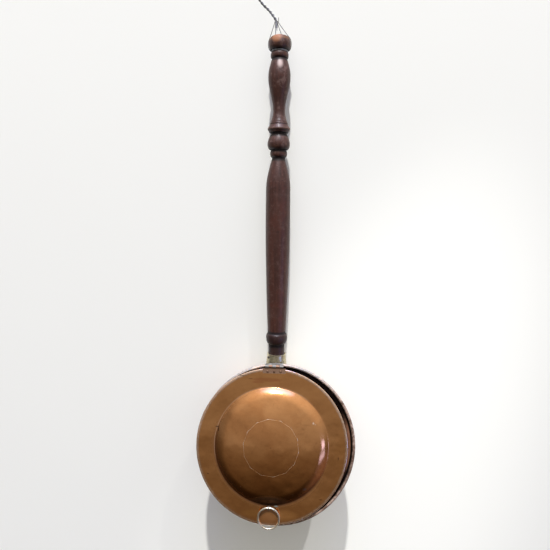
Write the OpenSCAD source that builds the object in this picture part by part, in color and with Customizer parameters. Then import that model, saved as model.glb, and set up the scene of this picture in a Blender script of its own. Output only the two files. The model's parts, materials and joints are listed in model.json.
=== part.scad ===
// Long-handled bed warming pan: a copper basin with a hinged, domed lid and a turned wooden handle,
// hung up by a twisted wire. Lengths are in millimetres.
// The handle stands along +Z, the lid faces -Y, and the origin is the centre of the hanging loop.

/* [Pan] */
// Outer radius of the pan's rolled rim
rim_r = 155.6; // [145:0.2:165]
// Depth of the pan from the ledge to the outside of the base
pan_depth = 68; // [55:1:80]
// Thickness of the pan's copper
pan_t = 1.2; // [0.8:0.1:1.6]
// Radius of the wire inside the pan's rolled rim
rim_wire_r = 1.6; // [1.2:0.1:2]
// Width of the flat ledge inside the rolled rim
ledge_w = 9; // [8:0.5:12]
// Rounding where the ledge turns down into the wall
lip_r = 5; // [4:0.5:7]
// Lean of the pan's wall from upright, in degrees
wall_lean = 8; // [4:1:12]
// Rounding between the wall and the base
corner_r = 30; // [24:1:34]

/* [Lid] */
// How much smaller the lid's radius is than the pan's
lid_inset = 5.6; // [4:0.1:8]
// Width of the flange, from the lid's edge to the foot of the dome
flange = 37; // [32:1:44]
// Thickness of the lid's copper
lid_t = 1; // [0.8:0.1:1.2]
// Radius of the wire inside the lid's rolled edge
edge_wire_r = 0.8; // [0.6:0.1:1]
// Rounding at the foot of the dome
foot_r = 3; // [2:0.5:4]
// Rounding of the dome's shoulder
shoulder_r = 40; // [34:1:46]
// Steepest slope of the dome's side, in degrees
dome_steep = 44; // [38:1:50]
// Slope of the crown where it leaves the shoulder, in degrees
crown_slope = 12; // [8:1:15]

/* [Hinge] */
// Width of the hinge barrel
hinge_w = 37; // [33:1:40]
// Outer radius of the hinge barrel
barrel_r = 3.2; // [3:0.1:3.5]
// Radius of the hinge pin
pin_r = 1.5; // [1.2:0.1:1.7]
// Thickness of the hinge leaves
leaf_t = 1.2; // [1:0.1:1.4]
// Width of the lid's hinge leaf
lid_leaf_w = 46; // [42:1:56]
// Length of the lid's hinge leaf along the flange
lid_leaf_l = 10; // [9.5:0.5:12]
// Radius of the hinge rivets
leaf_rivet_r = 1.3; // [1.1:0.1:1.5]
// Spacing of the hinge rivets
leaf_rivet_step = 13; // [11:0.5:14]

/* [Ring] */
// Outer width of the lift ring
ring_w = 44; // [40:1:48]
// Outer height of the lift ring, drawn a little long by use
ring_h = 47; // [45:1:52]
// Radius of the ring's wire
ring_wire_r = 1.8; // [1.5:0.1:2]
// Distance from the foot of the dome to the hole for the ring's eye
eye_clear = 4.5; // [4.5:0.5:8]
// Height of the eye's centre over the flange
eye_rise = 10; // [9:0.5:12]
// Lean of the eye towards the dome, in degrees
eye_lean = 22; // [10:1:26]
// Radius of the eye's wire
eye_wire_r = 1.3; // [1.1:0.1:1.5]

/* [Socket] */
// Outer radius of the socket at its mouth
socket_mouth_r = 18.4; // [17.8:0.1:19]
// Outer radius of the socket at the pan
socket_foot_r = 21.6; // [20:0.1:22.4]
// Height of the socket's mouth over the rim
socket_top = 20; // [17:1:26]
// Wall of the socket
socket_t = 1.4; // [1.2:0.1:1.6]
// Width of the saddle plate behind the socket
plate_w = 76; // [72:1:84]
// Height of the saddle plate
plate_h = 37; // [34:1:38]
// Thickness of the saddle plate
plate_t = 1.6; // [1.2:0.1:2]
// Radius of the socket's rivets
socket_rivet_r = 1.9; // [1.6:0.1:2.2]
// Radius of the nail that holds the handle
nail_r = 1.5; // [1.2:0.1:1.8]
// Turn of the nail from straight across, in degrees
nail_turn = 37; // [0:1:60]

/* [Handle] */
// Radius of the spigot in the socket
spigot_r = 16.6; // [15:0.1:16.8]
// Depth of the spigot below the rim
spigot_depth = 12; // [4:1:14]
// Radius of the bulb over the socket
bulb_r = 21.7; // [20:0.1:24]
// Radius of the shaft at its thickest
shaft_r = 24.4; // [22:0.1:26]
// Radius of the neck over the shaft
neck_r = 12.6; // [11:0.1:14]
// Radius of the ball
ball_r = 21.9; // [20:0.1:24]
// Radius of the bead under the vase
bead_r = 21.8; // [20:0.1:24]
// Radius of the vase at its waist
waist_r = 11.6; // [10:0.1:13]
// Radius of the vase at its thickest
vase_r = 21.5; // [20:0.1:24]
// Radius of the groove for the wire
groove_r = 15; // [13:0.1:15.5]
// Radius of the knob
knob_r = 21.1; // [20:0.1:24]

/* [Wire] */
// Radius of one strand of the sling
strand_r = 0.6; // [0.4:0.1:0.7]
// Diameter of the twisted hanging wire
twist_d = 5; // [4:0.1:6]
// Inner radius of the hanging loop
loop_r = 6; // [5:0.5:7]
// Radius of the loop's wire
loop_wire_r = 1.2; // [0.9:0.1:1.4]

/* [Set of the old pieces] */
// Rake of the pan from the handle's line, in degrees
rake = 13.4; // [10:0.2:16]
// How far the pan's centre lies to the right of the handle's line
pan_x = 5; // [0:0.5:6]
// How far the lid's centre lies to the right of the handle's line
lid_x = -4; // [-5:0.5:0]
// How far the lid's centre has dropped below the pan's
lid_drop = 3.4; // [2:0.1:5]
// How far the hinge lies to the right of the handle's line
hinge_x = -2; // [-4:0.5:2]
// How far the ring's eye lies to the right of the lid's centre
eye_x = -2; // [-4:0.5:2]

/* [Hidden] */
$fn = 64;

COPPER = [0.55, 0.33, 0.2];
BRASS = [0.66, 0.6, 0.4];
IRON = [0.3, 0.28, 0.27];
WOOD = [0.2, 0.11, 0.09];

arc_step = 15;        // largest turn between two points of a bent sheet, in degrees
arc_sag = 0.05;       // largest distance between a bent sheet's arc and its chord
seam = 0.05;          // clearance between a wire and the sheet rolled round it, and of a rivet in its hole
rest_gap = 0.3;       // clearance between pieces of different bodies
lap_gap = 0.1;        // clearance between a plate and the sheet that it lies on
overlap = 0.5;        // how far two shapes of one solid run into each other

// The heel is the point of the handle's line that is level with the rim.
heel = [49, -10, -720];
heel_gap = 1;
heel_out = rim_r + heel_gap; // from the pan's centre, up the pan's own plane
heel_back = 26;       // behind the ledge

// Rolled edges
roll_r = rim_wire_r + seam + pan_t / 2;
bead_out_r = roll_r + pan_t / 2;
bead_at_r = rim_r - bead_out_r;
bead_z = roll_r - pan_t / 2;
lid_r = rim_r - lid_inset;
dome_r = lid_r - flange;
edge_roll_r = edge_wire_r + seam + lid_t / 2;
edge_out_r = edge_roll_r + lid_t / 2;
edge_at_r = lid_r - edge_out_r;
roll_turn = 300;

// Walk along the pan's sheet, from the centre of the base to the rolled rim
wall_turn = 90 - wall_lean;
wall_rise = pan_depth - pan_t - (corner_r + lip_r) * (1 - cos(wall_turn));
wall_l = wall_rise / sin(wall_turn);
ledge_in_r = bead_at_r - ledge_w;
base_r = ledge_in_r - (corner_r + lip_r) * sin(wall_turn) - wall_l * cos(wall_turn);
pan_start = [0, pan_t / 2 - pan_depth];
pan_moves = [
    [base_r, 0], [corner_r, wall_turn], [wall_l, 0], [lip_r, -wall_turn],
    [ledge_w, 0], [roll_r, roll_turn]
];

// Walk along the lid's sheet, from the top of the crown to the rolled edge.
// The flange's upper face is at height 0.
shoulder_turn = dome_steep - crown_slope;
shoulder_in_r = dome_r - foot_r * sin(dome_steep) - shoulder_r * (sin(dome_steep) - sin(crown_slope));
crown_r = shoulder_in_r / sin(crown_slope);
dome_h = foot_r * (1 - cos(dome_steep)) + shoulder_r * (cos(crown_slope) - cos(dome_steep))
    + crown_r * (1 - cos(crown_slope));
flange_w = edge_at_r - dome_r;
lid_start = [0, dome_h - lid_t / 2];
lid_moves = [
    [crown_r, -crown_slope], [shoulder_r, -shoulder_turn], [foot_r, dome_steep],
    [flange_w, 0], [edge_roll_r, -roll_turn]
];
lid_rise = bead_z + bead_out_r + rest_gap + 2 * edge_out_r;

// Hinge: the barrel lies over the clip that is bent round the rolled rim
clip_r = bead_out_r + lap_gap + leaf_t / 2;
clip_out_r = clip_r + leaf_t / 2;
clip_turn = 200;
hinge_y = lid_r - lid_drop + barrel_r + rest_gap;
hinge_z = bead_z + clip_out_r + barrel_r + rest_gap;
knuckles = 5;
knuckle_w = hinge_w / knuckles;
knuckle_gap = 0.3;
pin_gap = 0.06;
leaf_back = barrel_r + rest_gap + lap_gap;
rivet_tail = 1.5;     // radius of a rivet's peened tail over the rivet's own
// The rivets' tails clear the lid's rolled edge.
lid_rivet_out = edge_at_r - edge_out_r - rivet_tail * leaf_rivet_r - lap_gap;
lid_rivet_y = sqrt(pow(lid_rivet_out, 2) - pow(abs(hinge_x - lid_x) + leaf_rivet_step, 2));
tab_l = ledge_w - overlap;
tab_rivet_r = bead_at_r - ledge_w + 2 * leaf_rivet_r + overlap + lap_gap;
rivet_angles = [for (i = [-1:1]) i * leaf_rivet_step / tab_rivet_r * 180 / PI];

// Ring and eye
eye_out = dome_r + eye_clear;
eye_hole_r = ring_wire_r + 0.35;
eye_r = eye_hole_r + eye_wire_r;
rove_r = 4;
rove_t = 0.8;
eye_bend_z = rove_t + eye_wire_r * sin(eye_lean) + lap_gap;
eye_neck_l = (eye_rise - eye_bend_z) / cos(eye_lean);
eye_leg_r = 0.8 * eye_wire_r;
eye_leg_l = 9;        // each leg, splayed under the lid
ring_y = eye_neck_l * sin(eye_lean) - eye_out;
ring_bend_r = ring_w / 2 - ring_wire_r;
ring_straight = ring_h - ring_w;
ring_rest = atan((eye_rise - ring_wire_r - rest_gap) / (edge_at_r + ring_y));

// Socket
socket_end = -34;
socket_taper_l = 26;  // from the socket's mouth down to where its foot radius is taken
socket_flare = (socket_foot_r - socket_mouth_r) / socket_taper_l;
plate_in = pan_t / 2 + lap_gap;
plate_out = plate_in + plate_t;
plate_z = -heel_back - 1;
plate_round = 10;
plate_rivet_x = 29.5;
wall_mid_z = pan_start[1] + corner_r * (1 - cos(wall_turn));
wall_mid_r = base_r + corner_r * sin(wall_turn);
rove_seat = rove_r + 1.6;
plate_rivet_z = [wall_mid_z + rove_seat, plate_z + plate_h / 4];
nail_z = socket_top - 7;
nail_proud = 0.4;     // how far the nail's shank reaches past the socket's wall
nail_head_h = 1;
plate_cut_y = 0.6 * rim_r; // the plate is cut out of the wall's offset skin from here ...
plate_cut_l = 0.5 * rim_r; // ... over this length, which reaches past the wall

// Turned handle: [height over the heel, radius, curve that leads there from the station before].
LINE = 0;
ARRIVE = 1;           // a sine that comes in level
LEAVE = 2;            // a sine that sets off level
OGEE = 3;             // level at both ends
BULGE = 4;            // a quarter round that comes in level
DROP = 5;             // a quarter round that sets off level
curve_steps = 7;
handle_top = 641.5;
groove_z = 612;
stations = [
    [-spigot_depth, spigot_r - 1.2, LINE],
    [socket_top - 8, spigot_r, LINE],
    [34, spigot_r - 0.3, LINE],
    [40, spigot_r, LINE],
    [53, bulb_r, BULGE],
    [61.5, bulb_r - 2.6, DROP],
    [63.3, bulb_r - 3.4, LINE],
    [300, shaft_r, ARRIVE],
    [352, shaft_r - 0.2, LINE],
    [412, neck_r, LEAVE],
    [414, neck_r, LINE],
    [421.5, neck_r + 4, BULGE],
    [427.5, neck_r + 2.6, DROP],
    [428.5, neck_r + 2.6, LINE],
    [440, ball_r, BULGE],
    [459, ball_r - 6.6, LEAVE],
    [460.5, ball_r - 6.8, LINE],
    [468.5, bead_r, BULGE],
    [476, bead_r - 3.6, DROP],
    [479, bead_r - 4.6, LINE],
    [486, waist_r + 3, LEAVE],
    [502, waist_r, ARRIVE],
    [566, vase_r, OGEE],
    [599, groove_r - 0.5, LEAVE],
    [605, groove_r + 2.2, BULGE],
    [610.5, groove_r, DROP],
    [613.5, groove_r, LINE],
    [625.5, knob_r, BULGE],
    [handle_top - 0.5, knob_r * 0.56, DROP],
    [handle_top, knob_r * 0.5, LINE]
];

// Hanging wire: the middle of its route, from the top of the binding to the loop's neck.
wire_route = [
    [42, -10, -52], [40, -9.8, -48.7], [37.9, -9.2, -45.4], [35.7, -8.4, -42.2], [33.4, -7.4, -38.9],
    [31.1, -6.4, -35.7], [28.7, -5.3, -32.6], [26.1, -4.2, -29.6], [23.4, -3.2, -26.7],
    [20.6, -2.3, -24], [17.8, -1.5, -21.2], [15.3, -0.9, -18.2], [12.8, -0.4, -15.1],
    [10.5, -0.1, -12.3], [8.4, 0, -9.9]
];
wire_sides = 8;
wire_end = wire_route[len(wire_route) - 1];
loop_bend_r = loop_r + loop_wire_r;
strand_gap = 0.3;
strand_at_r = groove_r + strand_gap + strand_r;
strand_step = 3;      // height between two points of a strand
neck_pitch = 2.2 * strand_r; // between the two turns round the neck
leave_low = 8;        // a strand lies on the knob at least this far over the groove
leave_step = 0.4;     // steps in which the height where it leaves the knob is looked for
tail_r = 1;
tail_l = 9;
tail_lap = 3;         // how far a tail lies along the binding
binding_l = 13;
binding_r = 2.4;
binding_x = -7;       // from the handle's line
binding_top = wire_route[0][2] - heel[2];
strand_turns = [0, 180, 66, 118];

// ---- helpers ----

// Ends of one move of a walk: [length, 0] is straight, [radius, turn] is an arc, left turns positive.
function unit(a) = [cos(a), sin(a)];
function left_of(a) = [-sin(a), cos(a)];
function arc_centre(p, a, move) = p + move[0] * sign(move[1]) * left_of(a);
function move_end(p, a, move) = move[1] == 0 ? p + move[0] * unit(a)
    : arc_centre(p, a, move) - move[0] * sign(move[1]) * left_of(a + move[1]);
function arc_parts(move) = ceil(abs(move[1]) / min(arc_step, 2 * acos(1 - arc_sag / move[0])));
function arc_points(p, a, move) = let (n = arc_parts(move)) [
    for (k = [0:n - 1]) let (b = a + move[1] * k / n)
        [arc_centre(p, a, move) - move[0] * sign(move[1]) * left_of(b), b]
];
// Every point of a walk with the heading there.
function walk(moves, p, a = 0, i = 0) = i == len(moves) ? [[p, a]] : concat(
    moves[i][1] == 0 ? [[p, a]] : arc_points(p, a, moves[i]),
    walk(moves, move_end(p, a, moves[i]), a + moves[i][1], i + 1)
);
function side_line(path, off) = [for (q = path) q[0] + off * left_of(q[1])];
function reverse(list) = [for (i = [len(list) - 1:-1:0]) list[i]];
// Outline of the band between two offsets from a walk.
function ribbon(path, low, high) = concat(side_line(path, low), reverse(side_line(path, high)));

function ease(t, curve) = curve == ARRIVE ? sin(90 * t)
    : curve == LEAVE ? 1 - cos(90 * t)
    : curve == OGEE ? (1 - cos(180 * t)) / 2
    : curve == BULGE ? sqrt(1 - (1 - t) * (1 - t))
    : curve == DROP ? 1 - sqrt(1 - t * t)
    : t;
function between(a, b, t) = [a[0] + (b[0] - a[0]) * t, a[1] + (b[1] - a[1]) * ease(t, b[2])];
function turned_line(list) = [
    for (i = [1:len(list) - 1]) let (n = list[i][2] == LINE ? 1 : curve_steps)
        for (k = [1:n]) let (q = between(list[i - 1], list[i], k / n)) [q[1], q[0]]
];
// Radius of the handle at a height.
function handle_r(z, i = 1) = z <= stations[i][0] || i == len(stations) - 1
    ? let (a = stations[i - 1], b = stations[i]) between(a, b, (z - a[0]) / (b[0] - a[0]))[1]
    : handle_r(z, i + 1);

// Tube along 3-D points, with a ring of points at each, square to the path.
function direction(pts, i) = let (a = pts[max(i - 1, 0)], b = pts[min(i + 1, len(pts) - 1)])
    (b - a) / norm(b - a);
function tube_ring(c, d, r, sides) = let (u = cross(d, [0, 1, 0.01]), v = u / norm(u), w = cross(d, v)) [
    for (k = [0:sides - 1]) c + r * (cos(360 * k / sides) * v + sin(360 * k / sides) * w)
];
module tube(pts, r, sides) {
    rings = [for (i = [0:len(pts) - 1]) each tube_ring(pts[i], direction(pts, i), r, sides)];
    last = (len(pts) - 1) * sides;
    faces = concat(
        [[for (k = [0:sides - 1]) k]],
        [for (i = [0:len(pts) - 2]) for (k = [0:sides - 1]) let (n = (k + 1) % sides)
            each [[i * sides + k, (i + 1) * sides + k, (i + 1) * sides + n],
                [i * sides + k, (i + 1) * sides + n, i * sides + n]]],
        [[for (k = [sides - 1:-1:0]) last + k]]
    );
    polyhedron(points = rings, faces = faces, convexity = 8);
}

module revolve(points, fn = 128) { rotate_extrude($fn = fn) polygon(points); }
module wire_ring(at_r, wire_r, fn = 128) {
    rotate_extrude($fn = fn) translate([at_r, 0]) circle(wire_r, $fn = 24);
}
// Part of a ring, centred on the +Y side.
module arc_of(angle, fn = 128) {
    rotate([0, 0, 90 - angle / 2]) rotate_extrude(angle = angle, $fn = fn) children();
}
// A rivet along +Z: its head sits on the plane z = 0, its shank and its peened tail are below it.
module rivet(r, grip, head_r, head_h) {
    tail_r = rivet_tail * r;
    revolve(concat(
        [[0, head_h]],
        [for (k = [1:6]) [head_r * sin(15 * k), head_h * cos(15 * k)]],
        [[r, 0], [r, -grip], [tail_r, -grip], [tail_r * 0.8, -grip - 0.5 * r], [0, -grip - 0.7 * r]]
    ), 32);
}
module hole(r, l) { cylinder(r = r, h = l, center = true, $fn = 32); }

// Frames
module on_handle() { translate(heel) children(); }
module on_pan() {
    on_handle() rotate([90 - rake, 0, 0]) translate([pan_x, -heel_out, heel_back]) children();
}
module on_lid() { on_pan() translate([lid_x - pan_x, -lid_drop, lid_rise]) children(); }
module on_nail() { on_handle() translate([0, 0, nail_z]) rotate([0, 0, nail_turn]) children(); }
module on_hinge() { on_pan() translate([hinge_x - pan_x, hinge_y, hinge_z]) rotate([0, 90, 0]) children(); }
module at_ledge_rivets() {
    turn = asin((hinge_x - pan_x) / tab_rivet_r);
    for (a = rivet_angles) rotate([0, 0, a - turn]) translate([0, tab_rivet_r, 0]) children();
}
module at_lid_rivets() {
    for (i = [-1:1]) translate([hinge_x - lid_x + i * leaf_rivet_step, lid_rivet_y, 0]) children();
}
// Places of the socket's rivets, with +Z square to the pan's wall and pointing out of it.
module at_wall_rivets(off) {
    for (z = plate_rivet_z) for (side = [-1, 1]) {
        r = wall_mid_r + (z - wall_mid_z) * tan(wall_lean);
        rotate([0, 0, -asin((side * plate_rivet_x - pan_x) / r)])
            translate([0, r, z]) rotate([-90 - wall_lean, 0, 0]) translate([0, 0, off]) children();
    }
}

// ---- the pan and what is fixed to it ----

module pan_bowl() {
    color(COPPER) on_pan() difference() {
        revolve(ribbon(walk(pan_moves, pan_start), -pan_t / 2, pan_t / 2), 180);
        at_ledge_rivets() hole(leaf_rivet_r + seam, 4 * pan_t);
        at_wall_rivets(0) hole(socket_rivet_r + seam, 6 * pan_t);
    }
}

module rim_wire() {
    color(IRON) on_pan() translate([0, 0, bead_z]) wire_ring(bead_at_r, rim_wire_r, 180);
}

module plate_outline(w, h) {
    for (x = [-1, 1]) for (y = [-1, 1]) translate([x * (w / 2 - plate_round), y * (h / 2 - plate_round)])
        circle(plate_round, $fn = 48);
    square([w, h - 2 * plate_round], center = true);
    square([w - 2 * plate_round, h], center = true);
}

module socket_plate() {
    color(BRASS) on_pan() difference() {
        intersection() {
            revolve(ribbon(walk(pan_moves, pan_start), -plate_out, -plate_in), 180);
            translate([-pan_x, plate_cut_y, plate_z]) rotate([-90, 0, 0])
                linear_extrude(plate_cut_l) plate_outline(plate_w, plate_h);
        }
        at_wall_rivets(0) hole(socket_rivet_r + seam, 8 * plate_t);
    }
}

module handle_socket() {
    run = socket_top - socket_end;
    end_r = socket_mouth_r + socket_flare * run;
    lip = 0.5;
    color(BRASS) difference() {
        difference() {
            on_handle() revolve([
                [socket_mouth_r - socket_t, socket_top], [socket_mouth_r + lip, socket_top],
                [socket_mouth_r + lip, socket_top - 2], [socket_mouth_r, socket_top - 2.6],
                [end_r, socket_end], [end_r - socket_t, socket_end]
            ], 96);
            on_nail() rotate([0, 90, 0]) hole(nail_r + seam, 4 * socket_foot_r);
        }
        on_pan() revolve(concat(
            side_line(walk(pan_moves, pan_start), -plate_out - lap_gap),
            [[0, bead_z + bead_out_r]]
        ), 180);
    }
}

module socket_rivets() {
    grip = plate_out + pan_t / 2 + lap_gap + rove_t + 2 * seam;
    color(BRASS) on_pan() at_wall_rivets(plate_out)
        rivet(socket_rivet_r, grip, 2 * socket_rivet_r, 1.1 * socket_rivet_r);
}

module rivet_roves() {
    color(COPPER) on_pan() at_wall_rivets(-pan_t / 2 - lap_gap - rove_t) difference() {
        cylinder(r = rove_r, h = rove_t, $fn = 32);
        hole(socket_rivet_r + seam, 4 * rove_t);
    }
}

module handle() {
    foot = [[0, -spigot_depth], [stations[0][1], -spigot_depth]];
    color(WOOD) difference() {
        on_handle() revolve(concat(foot, turned_line(stations), [[0, handle_top]]), 96);
        on_nail() rotate([0, 90, 0]) hole(nail_r + seam, 4 * spigot_r);
    }
}

module handle_pin() {
    reach = socket_mouth_r + socket_flare * (socket_top - nail_z) + nail_proud;
    color(IRON) on_nail() rotate([0, -90, 0]) {
        translate([0, 0, -reach]) cylinder(r = nail_r, h = 2 * reach, $fn = 32);
        translate([0, 0, reach - 0.1])
            cylinder(r1 = nail_r + nail_head_h, r2 = nail_r + nail_proud, h = nail_head_h, $fn = 32);
    }
}

module knuckle(i) {
    w = knuckle_w - knuckle_gap;
    translate([0, 0, (i - (knuckles - 1) / 2) * knuckle_w]) difference() {
        cylinder(r = barrel_r, h = w, center = true, $fn = 48);
        hole(pin_r + pin_gap, 2 * w);
    }
}

module rim_hinge_leaf() {
    turn = asin((hinge_x - pan_x) / tab_rivet_r);
    span = hinge_w / bead_at_r * 180 / PI;
    web_low = bead_z + bead_out_r + lap_gap + overlap - hinge_z;
    w = knuckle_w - knuckle_gap;
    line = walk([[tab_l, 0], [clip_r, clip_turn]], [bead_at_r - tab_l, 0]);
    color(BRASS) {
        on_pan() difference() {
            translate([0, 0, bead_z - clip_r]) rotate([0, 0, -turn]) arc_of(span, 180)
                polygon(ribbon(line, -leaf_t / 2, leaf_t / 2));
            at_ledge_rivets() hole(leaf_rivet_r + seam, 8 * pan_t);
        }
        on_hinge() for (i = [0:2:knuckles - 1]) {
            knuckle(i);
            translate([-web_low, barrel_r - leaf_t, (i - (knuckles - 1) / 2) * knuckle_w - w / 2])
                mirror([1, 0, 0]) cube([-web_low, leaf_t, w]);
        }
    }
}

module rim_leaf_rivets() {
    grip = pan_t + lap_gap + leaf_t + seam;
    color(COPPER) on_pan() at_ledge_rivets() rivet(leaf_rivet_r, grip, 2 * leaf_rivet_r, 0.9 * leaf_rivet_r);
}

module hinge_pin() {
    color(IRON) on_hinge() cylinder(r = pin_r, h = hinge_w + 1.6, center = true, $fn = 32);
}

// ---- the lid and what is fixed to it ----

module lid() {
    color(COPPER) on_lid() difference() {
        revolve(ribbon(walk(lid_moves, lid_start), -lid_t / 2, lid_t / 2), 180);
        at_lid_rivets() hole(leaf_rivet_r + seam, 4 * lid_t);
        translate([eye_x, -eye_out, 0]) hole(eye_wire_r + seam, 6 * lid_t);
    }
}

module lid_edge_wire() {
    color(IRON) on_lid() translate([0, 0, -edge_out_r]) wire_ring(edge_at_r, edge_wire_r, 180);
}

module lid_hinge_leaf() {
    leaf_x = hinge_x - lid_x;
    leaf_y = hinge_y + lid_drop;
    w = knuckle_w - knuckle_gap;
    color(BRASS) {
        on_lid() difference() {
            translate([leaf_x - lid_leaf_w / 2, leaf_y - leaf_back - lid_leaf_l, 0])
                cube([lid_leaf_w, lid_leaf_l, leaf_t]);
            at_lid_rivets() hole(leaf_rivet_r + seam, 8 * lid_t);
        }
        for (i = [1:2:knuckles - 1]) {
            on_hinge() knuckle(i);
            on_lid() translate([leaf_x + (i - (knuckles - 1) / 2) * knuckle_w - w / 2, leaf_y - leaf_back - overlap, 0])
                cube([w, leaf_back - pin_r - overlap, leaf_t]);
        }
    }
}

module lid_leaf_rivets() {
    color(COPPER) on_lid() at_lid_rivets() translate([0, 0, leaf_t])
        rivet(leaf_rivet_r, leaf_t + lid_t + seam, 2 * leaf_rivet_r, 0.7 * leaf_rivet_r);
}

module ring_eye() {
    color(BRASS) on_lid() translate([eye_x, -eye_out, 0]) {
        translate([0, 0, -lid_t - 2 * eye_wire_r])
            cylinder(r = eye_wire_r, h = lid_t + 2 * eye_wire_r + eye_bend_z, $fn = 32);
        translate([0, 0, -lid_t - lap_gap - eye_leg_r]) rotate([90, 0, 0])
            cylinder(r = eye_leg_r, h = 2 * eye_leg_l, center = true, $fn = 24);
        translate([0, 0, eye_bend_z]) {
            sphere(eye_wire_r, $fn = 32);
            rotate([-eye_lean, 0, 0]) {
                cylinder(r = eye_wire_r, h = eye_neck_l - eye_r, $fn = 32);
                translate([0, 0, eye_neck_l]) rotate([0, 90, 0]) wire_ring(eye_r, eye_wire_r, 48);
            }
        }
    }
}

module eye_rove() {
    color(BRASS) on_lid() translate([eye_x, -eye_out, 0]) difference() {
        cylinder(r = rove_r, h = rove_t, $fn = 48);
        hole(eye_wire_r + 2 * seam, 4 * rove_t);
    }
}

module lift_ring() {
    half = ring_straight / 2;
    color(BRASS) on_lid() translate([eye_x, ring_y, eye_rise]) rotate([ring_rest, 0, 0])
        translate([0, -ring_bend_r - half, 0]) for (side = [0, 180]) rotate([0, 0, side]) {
            translate([0, half, 0]) rotate_extrude(angle = 180, $fn = 96)
                translate([ring_bend_r, 0]) circle(ring_wire_r, $fn = 32);
            translate([ring_bend_r, 0, 0]) rotate([90, 0, 0])
                cylinder(r = ring_wire_r, h = ring_straight, center = true, $fn = 32);
        }
}

// ---- the wire that it hangs by ----

module neck_wire() {
    color(IRON) on_handle() for (k = [-0.5, 0.5]) translate([0, 0, groove_z + k * neck_pitch])
        wire_ring(strand_at_r, strand_r, 64);
}

// Middle of a strand that lies on the knob at a height: [radius, height].
function strand_seat(z) = let (d = 0.3, slope = (handle_r(z + d) - handle_r(z - d)) / (2 * d))
    [handle_r(z), z] + (strand_gap + strand_r) / norm([1, slope]) * [1, -slope];
// Where a strand ends in the binding: [distance out from the handle's line at its own turn, height].
function strand_end(turn) = [binding_x * cos(turn) + 1.2 * strand_r, binding_top - binding_l + 1];
// How far a line from the strand's end to its seat at a height leans out.
function strand_lean(turn, z) = let (q = strand_seat(z), e = strand_end(turn)) (q[0] - e[0]) / (e[1] - q[1]);
// A strand leaves the knob at the height where that line leans out most, so it clears the rest of the knob.
function strand_leave(turn) = let (
    zs = [for (z = [groove_z + leave_low:leave_step:handle_top - leave_step]) z],
    leans = [for (z = zs) strand_lean(turn, z)],
    most = max(leans)
) [for (i = [0:len(zs) - 1]) if (leans[i] == most) zs[i]][0];
// A strand goes up the knob at its own turn round the handle, then straight to the binding.
function strand_path(turn) = let (
    z0 = groove_z + 2,
    z1 = strand_leave(turn),
    n = ceil((z1 - z0) / strand_step)
) concat(
    [for (i = [0:n]) let (q = strand_seat(z0 + (z1 - z0) * i / n)) concat(q[0] * unit(turn), q[1])],
    [[binding_x + 1.2 * strand_r * cos(turn), 1.2 * strand_r * sin(turn), strand_end(turn)[1]]]
);

module sling_wires() {
    color(IRON) on_handle() for (turn = strand_turns) tube(strand_path(turn), strand_r, 6);
}

module sling_binding() {
    color(IRON) on_handle() translate([binding_x, 0, binding_top - binding_l])
        cylinder(r = binding_r, h = binding_l, $fn = 32);
}

module wire_tails() {
    beside = binding_r + lap_gap + tail_r;
    color(IRON) on_handle() {
        translate([binding_x + beside, 0, binding_top - tail_lap]) cylinder(r = tail_r, h = tail_l, $fn = 24);
        translate([binding_x + tail_r, -beside, binding_top - binding_l - tail_l + tail_lap])
            cylinder(r = tail_r, h = tail_l, $fn = 24);
    }
}

module hanging_wire() {
    rings = [for (i = [0:2:len(wire_route) - 1]) wire_route[i]];
    color(IRON) tube(rings, twist_d / 2, wire_sides);
}

module hanging_loop() {
    out = norm(wire_end);
    color(IRON) {
        rotate([90, 0, 0]) wire_ring(loop_bend_r, loop_wire_r, 64);
        rotate([0, 90 - atan2(wire_end[2], wire_end[0]), 0]) translate([0, 0, loop_bend_r])
            cylinder(r = twist_d / 2, h = out - loop_bend_r, $fn = 32);
    }
}

pan_bowl();
rim_wire();
socket_plate();
handle_socket();
socket_rivets();
rivet_roves();
handle();
handle_pin();
rim_hinge_leaf();
rim_leaf_rivets();
hinge_pin();
lid();
lid_edge_wire();
lid_hinge_leaf();
lid_leaf_rivets();
ring_eye();
eye_rove();
lift_ring();
neck_wire();
sling_wires();
sling_binding();
wire_tails();
hanging_wire();
hanging_loop();
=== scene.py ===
# %% [markdown]
# # A long-handled bed warming pan, hung on a pale wall
# The copper pan, its hinged lid, the brass fittings, the turned handle and the wire that it hangs
# by are each made as a piece of their own. Every size is in millimetres until it is placed; the
# frame that comes in first says where each piece goes and what it moves with.

# %% The frame
import json
from math import asin, ceil, copysign, cos, exp, hypot, pi, radians, sin, sqrt, tan
import bmesh
import bpy
import numpy as np
from mathutils import Matrix, Vector, noise

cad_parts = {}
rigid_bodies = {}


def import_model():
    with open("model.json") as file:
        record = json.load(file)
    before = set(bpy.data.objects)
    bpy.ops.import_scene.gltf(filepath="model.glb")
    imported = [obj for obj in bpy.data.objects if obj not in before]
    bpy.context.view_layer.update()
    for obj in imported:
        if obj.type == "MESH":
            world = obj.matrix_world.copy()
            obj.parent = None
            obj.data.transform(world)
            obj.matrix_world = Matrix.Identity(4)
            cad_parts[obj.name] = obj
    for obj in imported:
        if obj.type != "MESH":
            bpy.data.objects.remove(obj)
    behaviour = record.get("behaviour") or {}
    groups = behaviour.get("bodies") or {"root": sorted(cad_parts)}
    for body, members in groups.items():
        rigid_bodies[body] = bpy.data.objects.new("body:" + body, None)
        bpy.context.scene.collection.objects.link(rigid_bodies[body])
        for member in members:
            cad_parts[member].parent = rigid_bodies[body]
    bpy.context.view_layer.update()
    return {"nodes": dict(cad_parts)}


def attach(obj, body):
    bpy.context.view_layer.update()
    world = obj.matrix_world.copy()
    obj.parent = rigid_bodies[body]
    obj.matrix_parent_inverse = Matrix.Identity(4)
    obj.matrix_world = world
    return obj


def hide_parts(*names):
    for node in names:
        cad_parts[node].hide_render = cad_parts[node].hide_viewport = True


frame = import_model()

MM = 0.001

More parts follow.
